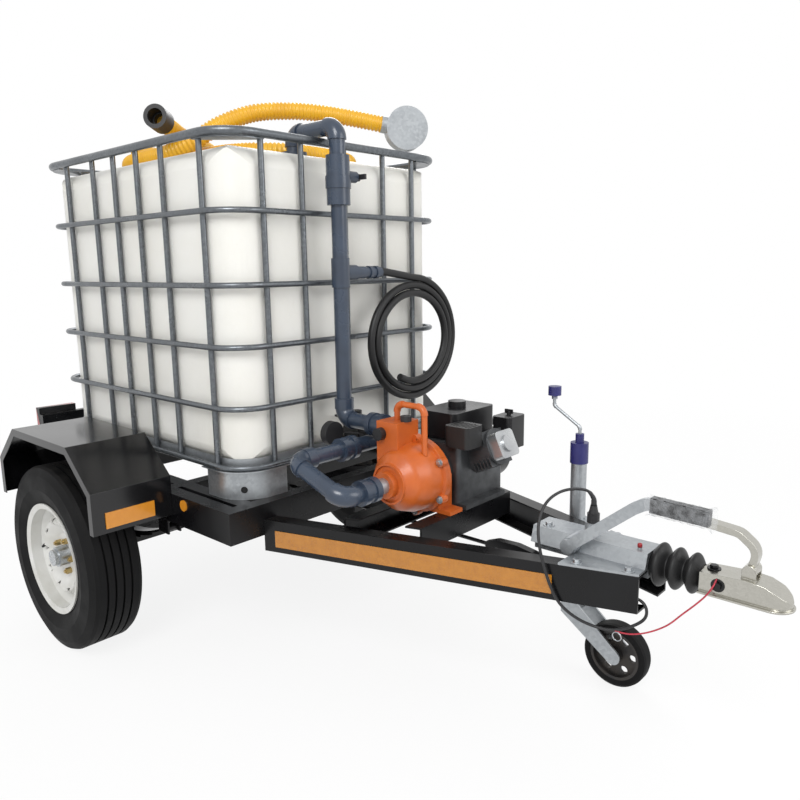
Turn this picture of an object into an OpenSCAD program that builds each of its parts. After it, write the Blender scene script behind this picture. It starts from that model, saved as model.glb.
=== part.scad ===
// Two-wheeled water bowser: a caged tank on a channel frame with an A-shaped drawbar,
// a petrol pump set, suction and delivery pipework, an overrun coupling and a jockey wheel.
// Millimetres, +X forward to the coupling, +Y left, +Z up, ground at z = 0.

/* [Chassis] */
// Height of the deck that carries the tank
deck_z = 570; // [540:5:600]
// Width over the side rails
frame_w = 1112; // [1080:2:1140]
// Front face of the front crossbeam
front_x = -20; // [-24:1:0]
// Reach of the frame behind the cage
tail_reach = 40; // [25:5:60]
// Depth of the channel section
rail_h = 100; // [90:2:110]
// Flange width of the channel section
rail_w = 50; // [44:1:54]
// Wall of the channel section
rail_t = 6; // [4:0.5:8]
// Height of the lamp bar above the deck
lamp_bar_rise = 95; // [60:5:150]
// Reach of the lamps behind the frame
lamp_reach = 90; // [80:5:150]

/* [Drawbar] */
// Half width over the drawbars at the crossbeam
drawbar_rear_y = 432; // [400:2:460]
// Half width over the drawbars at their front ends
drawbar_front_y = 90; // [86:1:96]
// Front ends of the drawbars
drawbar_front_x = 1030; // [1020:2:1050]
// Drop of the drawbar tops below the deck
drawbar_drop = 50; // [40:2:60]
// Depth of the pump bearers
bearer_h = 75; // [60:1:90]
// Rise of the bearers above the drawbar tops
bearer_rise = 25; // [15:1:35]

/* [Running gear] */
// Axle position along the frame
axle_x = -725; // [-740:5:-690]
// Tyre outer radius
tyre_r = 320; // [312:1:324]
// Tyre section width
tyre_w = 185; // [165:1:190]
// Track between the wheel middles
track = 1436; // [1426:2:1450]
// Wheel bead seat radius
rim_r = 178; // [165:1:185]
// Axle beam, square side
axle_side = 50; // [40:1:60]
// Stub axle radius
stub_r = 17.5; // [15:0.5:22]
// Leaf spring length between its eyes
spring_span = 640; // [560:10:700]
// Rise of the leaf spring to its eyes
spring_rise = 70; // [50:2:80]
// Leaf thickness
leaf_t = 8; // [6:0.5:9]
// Leaf width
leaf_w = 36; // [28:1:36]

/* [Mudguards] */
// Outer edge of the mudguards
guard_y = 820; // [812:2:850]
// Sheet thickness
guard_t = 3; // [2:0.5:4]
// Depth of the turned lip
guard_lip = 25; // [15:1:35]
// Top of the mudguard above the tyre
guard_gap = 113; // [90:1:130]
// Axle to the front panel
guard_front = 390; // [370:5:400]
// Axle to the rear panel
guard_rear = 310; // [300:5:340]

/* [Tank and cage] */
// Front of the cage, tube middles
cage_front = -50; // [-55:1:-45]
// Cage length, tube middles
cage_l = 1180; // [1170:1:1190]
// Cage width, tube middles
cage_w = 980; // [970:1:990]
// Cage corner radius
cage_r = 120; // [100:2:140]
// Cage ring height, lowest to top rail
cage_h = 993; // [960:1:1010]
// Cage tube diameter
tube_d = 18; // [16:1:20]
// Top rail diameter
rail_d = 26; // [22:1:28]
// Inward step of the upright bars
bar_step = 12; // [9:0.5:13]
// Height of the pallet feet
foot_h = 97; // [90:1:110]
// Height of the tray wall
tray_h = 33; // [28:1:40]
// Tray sheet thickness
tray_t = 2; // [1.5:0.5:3]
// Tank height
tank_h = 971; // [950:1:985]
// Tank wall
tank_wall = 6; // [4:0.5:9]
// Tank shoulder radius
tank_r = 70; // [50:1:90]
// Filler neck bore radius
neck_r = 75; // [60:1:80]
// Filler neck height
neck_h = 32; // [26:1:40]
// Lid height
lid_h = 42; // [38:1:48]

/* [Plumbing] */
// Pipe outside diameter
pipe_d = 50; // [46:1:54]
// Bend radius at the pipe's middle
bend_r = 40; // [36:1:44]
// Riser distance ahead of the cage front
riser_gap = 65; // [60:1:75]
// Riser position across
riser_y = -110; // [-130:2:-106]
// Height of the spout above the top rail
spout_rise = 42; // [38:1:60]
// Reach of the spout behind the riser
spout_back = 205; // [195:1:220]
// Height of the tank outlet above the tank base
outlet_rise = 57; // [55:1:70]
// Suction line distance ahead of the riser
suction_gap = 110; // [104:1:120]
// Suction line far corner across
suction_y = -420; // [-440:2:-400]

/* [Pump] */
// Pump and engine shaft along the frame
pump_x = 325; // [315:1:335]
// Shaft height above the bearers
shaft_rise = 110; // [106:1:116]
// Casing radius
casing_r = 105; // [98:1:106]
// Joint face between casing and bracket
joint_y = -95; // [-100:1:-90]
// Length of the domed casing
dome_l = 150; // [140:1:160]
// Impeller radius
impeller_r = 70; // [60:1:74]

/* [Engine] */
// Engine face towards the pump
engine_y = -30; // [-36:1:-26]
// Crankcase length along the shaft
block_l = 240; // [230:2:260]
// Crankcase width
block_w = 190; // [180:2:200]
// Crankcase height
block_h = 190; // [180:2:200]
// Recoil cover radius
recoil_r = 88; // [80:1:90]
// Recoil cover length
recoil_l = 84; // [70:2:100]

/* [Coupling] */
// Rear end of the coupling housing
housing_x = 700; // [690:2:720]
// Height of the housing above the drawbars
housing_h = 45; // [43:1:55]
// Draw shaft radius
shaft_r = 25; // [22:0.5:27]
// Draw shaft height above the drawbars
draw_rise = 10; // [8:1:14]
// Length of the bellows
bellows_l = 125; // [115:1:135]
// Coupling nose
nose_x = 1360; // [1350:2:1380]
// Ball socket radius
socket_r = 25.25; // [25:0.05:25.6]
// Overrun travel
overrun = 80; // [60:5:90]

/* [Jockey wheel] */
// Jockey position along the drawbar
jockey_s = 730; // [700:5:760]
// Outer tube radius
jockey_r = 24; // [22:0.5:30]
// Inner tube radius
inner_r = 20; // [18:0.5:21]
// Jockey wheel radius
jockey_wheel_r = 100; // [92:1:104]
// Jockey wheel width
jockey_wheel_w = 54; // [48:1:60]
// Wheel trail behind the swivel
jockey_trail = 150; // [130:2:170]

/* [Hoses and leads] */
// Suction hose diameter over its ribs
hose_d = 60; // [52:1:62]
// Delivery hose diameter
coil_d = 26; // [22:1:28]
// Electric lead diameter
lead_d = 8; // [6:0.5:9]
// Breakaway cable diameter
breakaway_d = 4; // [3:0.5:5]

/* [Hidden] */
$fn = 40;
// Overrun of every cut
over = 1;
// Running clearance of pins and shafts
run_gap = 0.05;
// Clearance between pieces of different bodies
free_gap = 0.3;
bend_steps = 6;

// Chassis
rail_z = deck_z - rail_h;
lamp_bar_h = 40;
lamp_bar_d = 30;
lamp_d = 30;
lamp_w = 150;
lamp_h = 90;
lamp_bar_l = frame_w;
lamp_arm_y = 0.36 * frame_w;
arm_w = 40;
hanger_t = 6;
hanger_w = 60;
pin_r = 8;
guide_t = 8;
guide_w = 40;

// Drawbar
drawbar_z = deck_z - drawbar_drop - rail_h;
drawbar_top = drawbar_z + rail_h;
drawbar_a = atan2(drawbar_rear_y - drawbar_front_y, drawbar_front_x - front_x);
drawbar_l = norm([drawbar_front_x - front_x, drawbar_rear_y - drawbar_front_y]);
bearer_top = drawbar_top + bearer_rise;
bearer_gap = 70;

// Running gear
axle_top = tyre_r + axle_side / 2;
spring_y = frame_w / 2 - rail_w / 2;
leaf_count = 3;
leaf_shares = [1, 0.72, 0.46];
spring_arc = (pow(spring_span / 2, 2) + pow(spring_rise, 2)) / (2 * spring_rise);
spring_cz = axle_top + spring_arc + leaf_count * leaf_t;
eye_r = 15;
eye_z = spring_cz - sqrt(pow(spring_arc + leaf_t / 2, 2) - pow(spring_span / 2, 2));
tread_shares = [[0, 0.36], [0.10, 0.42], [0.45, 0.50], [0.78, 0.48], [0.96, 0.42], [1, 0.36]];
carcass_t = 12;
groove_w = 7;
groove_d = 8;
groove_shares = [-0.22, -0.075, 0.075, 0.22];
flange_h = 14;
flange_t = 5;
flange_out = 84;
rim_wall = 5;
well_depth = 22;
disc_out = 22;
disc_t = 5;
disc_dish = 26;
window_r = 17;
window_count = 10;
window_ring = 122;
hub_r = 34;
drum_r = 118;
drum_l = 78;
hub_out = 42;
cap_h = 14;
nut_count = 5;
nut_ring = 56;
nut_r = 11;
nut_h = 18;

// Mudguards
guard_top = 2 * tyre_r + guard_gap;
guard_low = deck_z - 0.7 * rail_h;
knee_drop = 9;
guard_knee = 2 * tyre_r - knee_drop;
guard_front_flat = 247;
guard_rear_flat = 165;
reflector_w = 160;
reflector_h = 50;
reflector_t = 4;
reflector_rise = 15;
reflector_in = 40;
strip_l = 850;
strip_h = 52;
strip_t = 2;
strip_in = 40;
strip_drop = 18;
marker_d = 36;
marker_x = -265;

// Tank and cage
foot_top = deck_z + foot_h;
ring_shares = [0, 0.187, 0.376, 0.562, 0.78, 1];
side_shares = [-0.685, -0.347, -0.092, 0.164, 0.422, 0.781];
end_shares = [-0.706, -0.394, -0.02, 0.355, 0.665];
short_bar = 2;
ring_z = foot_top + tube_d / 2;
bar_in = bar_step + tube_d / 2;
tray_gap = 2;
tray_l = cage_l - 2 * bar_in - 2 * tray_gap;
tray_w = cage_w - 2 * bar_in - 2 * tray_gap;
tank_l = tray_l - 2 * tray_t - tray_gap;
tank_w = tray_w - 2 * tray_t - tray_gap;
tank_corner = cage_r - bar_in;
tank_z = foot_top + tray_t;
tank_top = tank_z + tank_h;
gusset_l = 150;
gusset_t = 3;
foot_t = 3;
foot_in = 12;
foot_reach = 190;
foot_hole_r = 11;
foot_pad = 40;
neck_wall = 6;
lid_wall = 5;
lid_rib_count = 24;
lid_rib_r = 4;
tank_x = cage_front - cage_l / 2;
tail_x = tank_x - cage_l / 2 - tail_reach;
lamp_rear_x = tail_x - lamp_reach;
tank_front = tank_x + tank_l / 2;
top_rail_z = ring_z + cage_h;

// Plumbing
riser_x = cage_front + riser_gap;
shaft_z = bearer_top + shaft_rise;
outlet_z = tank_z + outlet_rise;
suction_x = riser_x + suction_gap;
port_rise = 135;
port_z = shaft_z + port_rise;
port_y = riser_y;
spout_z = top_rail_z + spout_rise;
valve_r = 36;
valve_l = 72;
valve_lid_r = 24;
stem_r = 9;
stem_h = 16;
spigot_r = 31;
lever_l = 95;
lever_w = 20;
lever_t = 7;
socket_t = 4.5;
socket_l = 34;
union_r = 37;
union_l = 62;
union_lip = 10;
nipple_r = 24;
tee_rise = 475;
tee_l = 92;
branch_y = -46;
tail_l = 118;
tail_r = 17;
clamp_r = 21;
clamp_l = 14;
riser_valve_rise = 759;
riser_valve_l = 150;
ball_r = 40;
gland_r = 18;
gland_l = 34;
handle_l = 80;
handle_w = 16;
handle_t = 8;
tank_nut_r = 42;
tank_nut_h = 14;
dust_r = 39;
dust_l = 26;
dust_y = -176;
dust_x = 10;
dust_drop = 28;
strap_d = 5;

// Pump
volute_r = 82;
volute_l = 60;
dome_front = joint_y - dome_l;
dome_shares = [[1.10, 0], [1.10, 0.08], [1.0, 0.10], [0.98, 0.42], [0.84, 0.72], [0.58, 0.90],
    [0.44, 0.93]];
lug_r = 14;
lug_l = 24;
lug_count = 6;
inlet_r = 40;
inlet_l = 12;
ring_r = 62;
ring_w = 7;
tower_x = -45;
tower_w = 84;
tower_d = 96;
tower_top = 172;
bracket_w = 150;
bracket_t = 12;
foot_w = 240;
foot_d = 60;
rotor_r = 10;
rotor_in = 60;
impeller_l = 26;
blade_count = 6;
blade_t = 6;
plug_r = 17;
plug_h = 16;
side_cap_r = 19;
side_cap_l = 20;
handle_d = 18;
grip_rise = 50;
grip_out = 62;
grip_bend = 24;

// Engine
base_t = 15;
base_w = 250;
base_l = 210;
block_top = bearer_top + base_t / 2 + block_h;
face_l = 8;
block_y = engine_y + face_l;
face_r = 70;
cyl_a = 25;
cyl_r = 58;
cyl_l = 90;
fin_count = 6;
fin_t = 3;
fin_side = 110;
cyl_y = 110;
cover_t = 34;
cover_w = 92;
cover_h = 84;
disc_cap_r = 26;
disc_cap_t = 7;
fuel_l = 220;
fuel_w = 150;
fuel_h = 84;
fuel_r = 22;
fuel_x = -18;
fuel_y = 30;
fuel_gap = 4;
fuel_cap_r = 29;
fuel_cap_h = 20;
fuel_neck_r = 20;
fuel_neck_h = 8;
silencer_l = 90;
silencer_w = 82;
silencer_h = 66;
silencer_x = 105;
silencer_y = -28;
silencer_r = 14;
slot_count = 7;
slot_w = 5;
slot_depth = 4;
cleaner_l = 70;
cleaner_w = 96;
cleaner_h = 104;
cleaner_y = 172;
cleaner_z = 160;
cleaner_r = 16;
wing_r = 7;
wing_h = 14;
wing_w = 30;
wing_t = 5;
recoil_slot_count = 16;
recoil_slot_w = 7;
grip_l = 70;
grip_w = 26;
grip_t = 22;

// Coupling
draw_z = drawbar_top + draw_rise;
housing_front = drawbar_front_x - 2 * run_gap;
housing_top_w = 84;
housing_low_w = 112;
flange_plate_t = 6;
flange_x = 840;
keel_w = 66;
keel_drop = 24;
shaft_in = 250;
pivot_x = 830;
pivot_rise = 26;
pivot_r = 10;
boss_r = 22;
lever_y = -84;
lever_bar_h = 30;
lever_bar_w = 14;
lever_eye_r = 20;
lever_reach = 350;
lever_rise = 165;
lever_shares = [[0, 0], [0.507, 0.878], [0.598, 1], [1, 0.972]];
lever_path = [for (s = lever_shares) [s[0] * lever_reach, s[1] * lever_rise]];
lever_bend = 45;
sleeve_t = 4;
sleeve_l = 138;
park_x = 845;
park_y = 28;
park_h = 22;
park_wall = 5;
indicator_x = 1000;
indicator_r = 5;
indicator_h = 14;
bellows_r = 58;
bellows_neck_r = 36;
collar_l = 22;
bellows_wall = 5;
bellows_folds = 3;
bellows_depth = 20;
fold_shares = [[0, 1], [0.12, 0.55], [0.3, 0.08], [0.5, 0], [0.7, 0.08], [0.88, 0.55]];
head_back = drawbar_front_x + bellows_l + free_gap;
head_w = 74;
head_h = 58;
head_lip_t = 5;
head_lip_w = 94;
head_bore_h = 14;
cup_x = nose_x - 0.65 * head_lip_w;
head_shares = [[0, 0], [1, 0], [1, 0.16], [0.94, 0.46], [0.84, 0.72], [0.70, 0.93], [0.5, 1], [0, 0.88]];
handle_x = 1262;
handle_eye_r = 16;
handle_rise = head_h / 2 + handle_eye_r + free_gap;
handle_bar_t = 16;
handle_bar_w = 34;
handle_bend = 34;
handle_reach = 116;
handle_lift = 92;
handle_shares = [[0, 0], [0.10, 0.56], [-0.26, 0.91], [-1, 1]];
ear_t = 7;
brake_d = 12;
brake_z = rail_z - 22;
brake_front_x = 745;
brake_rear_x = -520;
brake_arm_l = 190;
brake_arm_h = 42;
brake_arm_w = 24;
brake_arm_t = 22;
brake_arm_y = -58;
brake_arm_bend = 30;
brake_arm_shares = [[0, 0], [-0.1, 0.75], [-0.45, 1], [-0.8, 0.95], [-1, 0.6]];
clevis_l = 50;
clevis_w = 26;

// Jockey wheel
clamp_wall = 9;
clamp_ring_r = jockey_r + clamp_wall;
pad_t = 3;
jockey_off = clamp_ring_r + pad_t;
jockey_x = front_x + jockey_s * cos(drawbar_a) + jockey_off * sin(drawbar_a);
jockey_y = drawbar_rear_y - jockey_s * sin(drawbar_a) + jockey_off * cos(drawbar_a);
clamp_h = 70;
clamp_rise = 15;
pad_l = 60;
bolt_boss_l = 44;
bolt_boss_w = 22;
bolt_r = 6;
tee_bar_l = 70;
tee_bar_r = 5;
jockey_rise = 112;
jockey_top = deck_z + jockey_rise;
jockey_low = 300;
jcap_h = 64;
jcap_r = 27.5;
collar_r = 13;
collar_h = 27;
crank_r = 5;
crank_bend = 14;
crank_throw = 90;
crank_rise = 130;
crank_shares = [[0, 0.36], [-1, 0.80], [-1, 1]];
crank_path = [for (s = crank_shares) [s[0] * crank_throw, 0, s[1] * crank_rise]];
crank_stem_r = 9;
crank_stem_h = 24;
knob_r = 20;
knob_h = 28;
screw_r = 9;
inner_low = 235;
inner_high = 620;
nut_depth = 110;
spindle_r = 12;
spindle_l = 60;
crown_t = 26;
crown_w = 56;
fork_t = 6;
fork_gap = 3;
fork_end_r = 24;
jaxle_r = 8;
jtyre_t = 22;
jrim_web = 12;
jhub_r = 22;
jspoke_ring = 52;
jhole_r = 12;
jhole_count = 6;

// Suction hose, strainer end first, heights above its rest on the tank top
hose_points = [[-194, 312, 128], [-255, 231, 145], [-315, 140, 158], [-372, 33, 160], [-425, -85, 144],
  [-470, -195, 98], [-528, -285, 32], [-630, -326, 1], [-760, -328, 0], [-880, -310, 0],
  [-985, -245, 0], [-1040, -130, 0], [-1050, 0, 0], [-1040, 130, 0], [-990, 250, 0],
  [-890, 320, 0], [-760, 340, 0], [-630, 340, 0], [-500, 340, 0], [-385, 315, 0],
  [-300, 235, 0], [-270, 115, 0], [-270, -15, 0], [-292, -105, 0], [-352, -165, 0],
  [-440, -198, 0], [-550, -214, 0], [-670, -221, 0], [-775, -224, 6], [-868, -225, 32],
  [-950, -220, 60], [-1020, -200, 72], [-1071, -152, 75], [-1090, -82, 75], [-1071, -12, 75],
  [-1020, 39, 75], [-950, 58, 75], [-882, 38, 75], [-833, -8, 74], [-783, -72, 73],
  [-717, -156, 74], [-646, -246, 80], [-556, -362, 96]];
hose_settle = 0.4;
hose_wall = 7;
hose_rib = 3;
hose_samples = 8;
hose_bore_step = 6;
hose_bore = hose_d / 2 - hose_rib - hose_wall;
hose_route = [for (p = hose_points) p + [0, 0, tank_top + hose_d / 2 - hose_settle]];
hose_sides = 8;
strainer_r = 77;
strainer_l = 60;
strainer_way = hose_route[0] - hose_route[1];
strainer_turn = atan2(strainer_way.y, strainer_way.x);
strainer_dip = -asin(strainer_way.z / norm(strainer_way));
strainer_seat = 0.4;
spigot_l = 18;
coupler_r = 39;
coupler_l = 66;
coupler_bore = 25.5;

// Delivery hose coil hung on the cage front
coil_cy = 236;
coil_cz = 1026;
coil_wide = 236;
coil_tall = 219;
coil_shrink = 27.5;
coil_pitch = 4;
coil_rings = 24;
coil_sides = 6;
coil_turns = 2.6;

// Electric lead from the drawbar end to the parked plug
lead_points = [[985, -66, 450], [1026, -64, 447], [1044, -66, 428], [1040, -72, 402], [1006, -82, 374],
  [963, -95, 358], [915, -112, 363], [878, -136, 386], [850, -158, 421], [831, -170, 464], [817, -178, 512],
  [802, -178, 561], [788, -165, 607], [781, -140, 644], [784, -110, 671], [795, -70, 686], [808, -20, 685],
  [830, 16, 676], [843, 27, 656], [845, 28, 645], [845, 28, 634.6]];
plug_body_r = 17;
plug_l = 46;
plug_neck_r = 9;
plug_neck_l = 22;

// Breakaway cable from the coupling head to its knot on the lead
breakaway_points = [[1197, -38, 545], [1194, -50, 531], [1184, -60, 510], [1167, -70, 487], [1139, -84, 455],
  [1108, -96, 420], [1068, -108, 393], [1028, -117, 378], [990, -124, 375]];

function unit(v) = v / norm(v);

// Shift along Z, and the turns that lay a Z axis along +X, -Y and +Y
module up(z) {
  translate([0, 0, z]) children();
}

module ahead() {
  rotate([0, 90, 0]) children();
}

module to_right() {
  rotate([90, 0, 0]) children();
}

module to_left() {
  rotate([-90, 0, 0]) children();
}

// Round bar between two points
module rod(a, b, d) {
  v = b - a;
  translate(a) rotate([0, acos(v.z / norm(v)), atan2(v.y, v.x)]) cylinder(d = d, h = norm(v));
}

// Length that a bend of radius r takes from each side of corner i of a path
function bend_cut(path, i, r) =
  (i == 0 || i == len(path) - 1) ? 0
  : r * tan(acos(unit(path[i] - path[i - 1]) * unit(path[i + 1] - path[i])) / 2);

// Round tube along straight runs, joined by elbows that are thicker by s all round
module bent_tube(path, d, r, s) {
  for (i = [0 : len(path) - 2]) {
    u = unit(path[i + 1] - path[i]);
    start = i == 0 ? 0 : bend_cut(path, i, r) - s;
    end = i == len(path) - 2 ? 0 : bend_cut(path, i + 1, r) - s;
    rod(path[i] + u * start, path[i + 1] - u * end, d);
  }
  for (i = [1 : len(path) - 2]) {
    a = unit(path[i] - path[i - 1]);
    b = unit(path[i + 1] - path[i]);
    n = unit(b - (a * b) * a);
    k = cross(-n, a);
    c = path[i] - a * bend_cut(path, i, r) + n * r;
    multmatrix([[-n.x, a.x, k.x, c.x], [-n.y, a.y, k.y, c.y], [-n.z, a.z, k.z, c.z], [0, 0, 0, 1]])
      rotate_extrude(angle = acos(a * b)) translate([r, 0]) circle(d = d + 2 * s);
  }
}

// Bore along Z that runs out past both ends
module bore(r, h) {
  up(-over) cylinder(r = r, h = h + 2 * over);
}

// Places children evenly on a ring
module around(count, r) {
  for (i = [0 : count - 1]) {
    rotate([0, 0, i * 360 / count]) translate([r, 0, 0]) children();
  }
}

// Flat path with each corner rounded to radius r
function rounded(path, r) = concat([path[0]], [for (i = [1 : len(path) - 2], k = [0 : bend_steps])
  let (a = unit(path[i] - path[i - 1]), b = unit(path[i + 1] - path[i]), n = unit(b - (a * b) * a),
    turn = acos(a * b) * k / bend_steps)
  path[i] + a * (r * sin(turn) - bend_cut(path, i, r)) + n * r * (1 - cos(turn))], [path[len(path) - 1]]);

// Flat bar of depth t and width w along a path in the XZ plane, middle at y = 0
module bent_bar(path, t, w, r) {
  p = rounded(path, r);
  translate([0, w / 2, 0]) to_right() linear_extrude(w)
    polygon(concat(side_path(p, t / 2), reversed(side_path(p, -t / 2))));
}

// Points of an open path moved sideways by t, with mitred corners
function side_path(path, t) = [for (i = [0 : len(path) - 1])
  let (a = i > 0 ? unit(path[i] - path[i - 1]) : unit(path[1] - path[0]),
    b = i < len(path) - 1 ? unit(path[i + 1] - path[i]) : a,
    m = [a.y + b.y, -a.x - b.x])
  path[i] + m * t / (1 + a * b)];

function reversed(list) = [for (i = [len(list) - 1 : -1 : 0]) list[i]];

// Strip of sheet that follows a path
module sheet(path, t) {
  polygon(concat(path, reversed(side_path(path, t))));
}

// Channel section along X, web on y = 0, open towards +Y
module channel(l, h, w, t) {
  difference() {
    cube([l, w, h]);
    translate([-over, t, t]) cube([l + 2 * over, w, h - 2 * t]);
  }
}

// Rectangle with round corners, centred
module round_plate(l, w, r) {
  difference() {
    square([l, w], center = true);
    for (a = [-1, 1], b = [-1, 1]) {
      difference() {
        translate([a * (l - r + over) / 2, b * (w - r + over) / 2]) square(r + over, center = true);
        translate([a * (l / 2 - r), b * (w / 2 - r)]) circle(r);
      }
    }
  }
}

// Block with round upright corners, centred in plan
module round_block(l, w, h, r) {
  linear_extrude(h) round_plate(l, w, r);
}

// Closed ring of tube with rounded corners, centred
module tube_ring(l, w, r, d) {
  for (s = [-1, 1]) {
    rod([r - l / 2, s * w / 2, 0], [l / 2 - r, s * w / 2, 0], d);
    rod([s * l / 2, r - w / 2, 0], [s * l / 2, w / 2 - r, 0], d);
  }
  for (q = [0 : 3]) {
    sx = (q == 0 || q == 3) ? 1 : -1;
    sy = q < 2 ? 1 : -1;
    translate([sx * (l / 2 - r), sy * (w / 2 - r), 0]) rotate([0, 0, 90 * q])
      rotate_extrude(angle = 90) translate([r, 0]) circle(d = d);
  }
}

// Places children on the right side for -1 and mirrored to the left for 1
module on_side(side) {
  mirror([0, side > 0 ? 1 : 0, 0]) children();
}

// Frame of one drawbar's outer face: X along the bar, Y inward
module on_drawbar(side) {
  on_side(side) translate([front_x, -drawbar_rear_y, drawbar_z]) rotate([0, 0, drawbar_a]) children();
}

// Frame of one wheel: Z outward along the axle
module on_wheel(side) {
  translate([axle_x, side * track / 2, tyre_r]) rotate([-90 * side, 0, 0]) children();
}

// Channel frame, spring hangers, brake rod guides and the rear lamp bar
module chassis_rails() {
  color("#151517") {
    difference() {
      frame_block(0, 0, rail_h);
      frame_block(rail_w, -over, rail_h + 2 * over);
      frame_block(rail_t, rail_t, rail_h - 2 * rail_t);
    }
    for (side = [-1, 1]) {
      on_side(side) {
        translate([tail_x + rail_w, -cage_w / 2, deck_z - rail_w])
          channel(front_x - tail_x - 2 * rail_w, rail_w, rail_w, rail_t);
        spring_hangers();
        lamp_arm();
      }
    }
    for (end = [-1, 1]) {
      translate([axle_x + end * spring_span / 2 + rail_w / 2, rail_w - frame_w / 2, rail_z])
        rotate([0, 0, 90]) channel(frame_w - 2 * rail_w, rail_h, rail_w, rail_t);
    }
    rod_guide(front_x - rail_w / 2);
    rod_guide(axle_x + spring_span / 2);
    translate([lamp_rear_x + lamp_d, -lamp_bar_l / 2, deck_z + lamp_bar_rise])
      cube([lamp_bar_d, lamp_bar_l, lamp_bar_h]);
  }
}

// Plan of the frame drawn in on every side, from a height above its underside
module frame_block(inset, z, h) {
  translate([tail_x + inset, inset - frame_w / 2, rail_z + z])
    cube([front_x - tail_x - 2 * inset, frame_w - 2 * inset, h]);
}

module spring_hangers() {
  for (end = [-1, 1], wall = [-1, 1]) {
    translate([axle_x + end * spring_span / 2, wall * (leaf_w / 2 + free_gap + hanger_t / 2) - spring_y, 0])
      to_right() difference() {
        translate([-hanger_w / 2, eye_z - eye_r, -hanger_t / 2])
          cube([hanger_w, rail_z - eye_z + eye_r + rail_t / 2, hanger_t]);
        translate([0, eye_z, -hanger_t]) cylinder(r = pin_r + run_gap, h = 2 * hanger_t);
      }
  }
}

module lamp_arm() {
  arm_z = rail_z + rail_h / 2;
  translate([lamp_rear_x + lamp_d, -lamp_arm_y, arm_z])
    cube([tail_x - lamp_rear_x - lamp_d, arm_w, arm_w]);
  translate([lamp_rear_x + lamp_d, -lamp_arm_y, arm_z])
    cube([lamp_bar_d, arm_w, deck_z + lamp_bar_rise - arm_z]);
}

module rod_guide(x) {
  translate([x - guide_t / 2, 0, 0]) rotate([90, 0, 90]) linear_extrude(guide_t) difference() {
    translate([-guide_w / 2, brake_z - guide_w / 2]) square([guide_w, rail_z - brake_z + guide_w / 2]);
    translate([0, brake_z]) circle(d = brake_d + 2 * run_gap);
  }
}

// A-shaped drawbar and the two bearers under the pump set
module drawbars() {
  color("#151517") {
    for (side = [-1, 1]) {
      intersection() {
        on_drawbar(side) translate([-rail_w, 0, 0]) channel(drawbar_l + 2 * rail_w, rail_h, rail_w, rail_t);
        translate([front_x, -frame_w / 2, 0]) cube([drawbar_front_x - front_x, frame_w, deck_z]);
      }
    }
    bearer(pump_x + bearer_gap + rail_w, 90);
    bearer(pump_x - bearer_gap - rail_w, -90);
  }
}

// One bearer cut to the inner edges of the drawbar flanges
module bearer(x, a) {
  difference() {
    translate([x, -sign(a) * frame_w / 2, bearer_top - bearer_h]) rotate([0, 0, a])
      channel(frame_w, bearer_h, rail_w, rail_t);
    for (side = [-1, 1]) {
      on_drawbar(side) translate([-rail_w, -frame_w, -rail_h])
        cube([drawbar_l + 2 * rail_w, frame_w + rail_w, 3 * rail_h]);
    }
  }
}

// Square axle beam with stub axles and two leaf springs
module axle() {
  beam_l = track - tyre_w;
  color("#1c1c1e") {
    translate([axle_x - axle_side / 2, -beam_l / 2, tyre_r - axle_side / 2])
      cube([axle_side, beam_l, axle_side]);
    for (side = [-1, 1]) {
      on_wheel(side) up(-tyre_w / 2) cylinder(r = stub_r, h = tyre_w / 2 + disc_out);
      on_side(side) leaf_spring();
    }
  }
}

module leaf_spring() {
  translate([axle_x, leaf_w / 2 - spring_y, 0]) to_right() {
    translate([-axle_side / 2, axle_top - over, -leaf_t])
      cube([axle_side, over + (leaf_count + 1) * leaf_t, leaf_w + 2 * leaf_t]);
    for (i = [0 : leaf_count - 1]) {
      leaf_l = spring_span * leaf_shares[i];
      intersection() {
        translate([0, spring_cz, 0]) difference() {
          cylinder(r = spring_arc + (i + 1) * leaf_t, h = leaf_w);
          bore(spring_arc + i * leaf_t, leaf_w);
        }
        translate([-leaf_l / 2, axle_top - over, 0])
            cube([leaf_l, spring_rise + leaf_count * leaf_t, leaf_w]);
      }
    }
    for (end = [-1, 1]) {
      translate([end * spring_span / 2, eye_z, 0]) {
        cylinder(r = eye_r, h = leaf_w);
        up(-hanger_t - 2 * free_gap) cylinder(r = pin_r, h = leaf_w + 2 * hanger_t + 4 * free_gap);
      }
    }
  }
}

// Folded sheet mudguard with a turned lip on its outer edge
module mudguard(side) {
  path = [[axle_x + guard_front, guard_low], [axle_x + guard_front, guard_knee],
    [axle_x + guard_front_flat, guard_top], [axle_x - guard_rear_flat, guard_top],
    [axle_x - guard_rear, guard_knee], [axle_x - guard_rear, guard_low]];
  color("#18181a") on_side(side) {
    translate([0, -frame_w / 2, 0]) to_right() linear_extrude(guard_y - frame_w / 2)
        sheet(path, -guard_t);
    translate([0, guard_t - guard_y, 0]) to_right() linear_extrude(guard_t) sheet(path, -guard_lip);
  }
}

module mudguard_right() {
  mudguard(-1);
}

module mudguard_left() {
  mudguard(1);
}

// Rear lamps on the lamp bar
module tail_lamps() {
  color("#8f1414") for (side = [-1, 1]) {
    on_side(side) translate([lamp_rear_x, -lamp_bar_l / 2, deck_z + lamp_bar_rise - (lamp_h -
        lamp_bar_h) / 2])
      cube([lamp_d, lamp_w, lamp_h]);
  }
}

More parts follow.
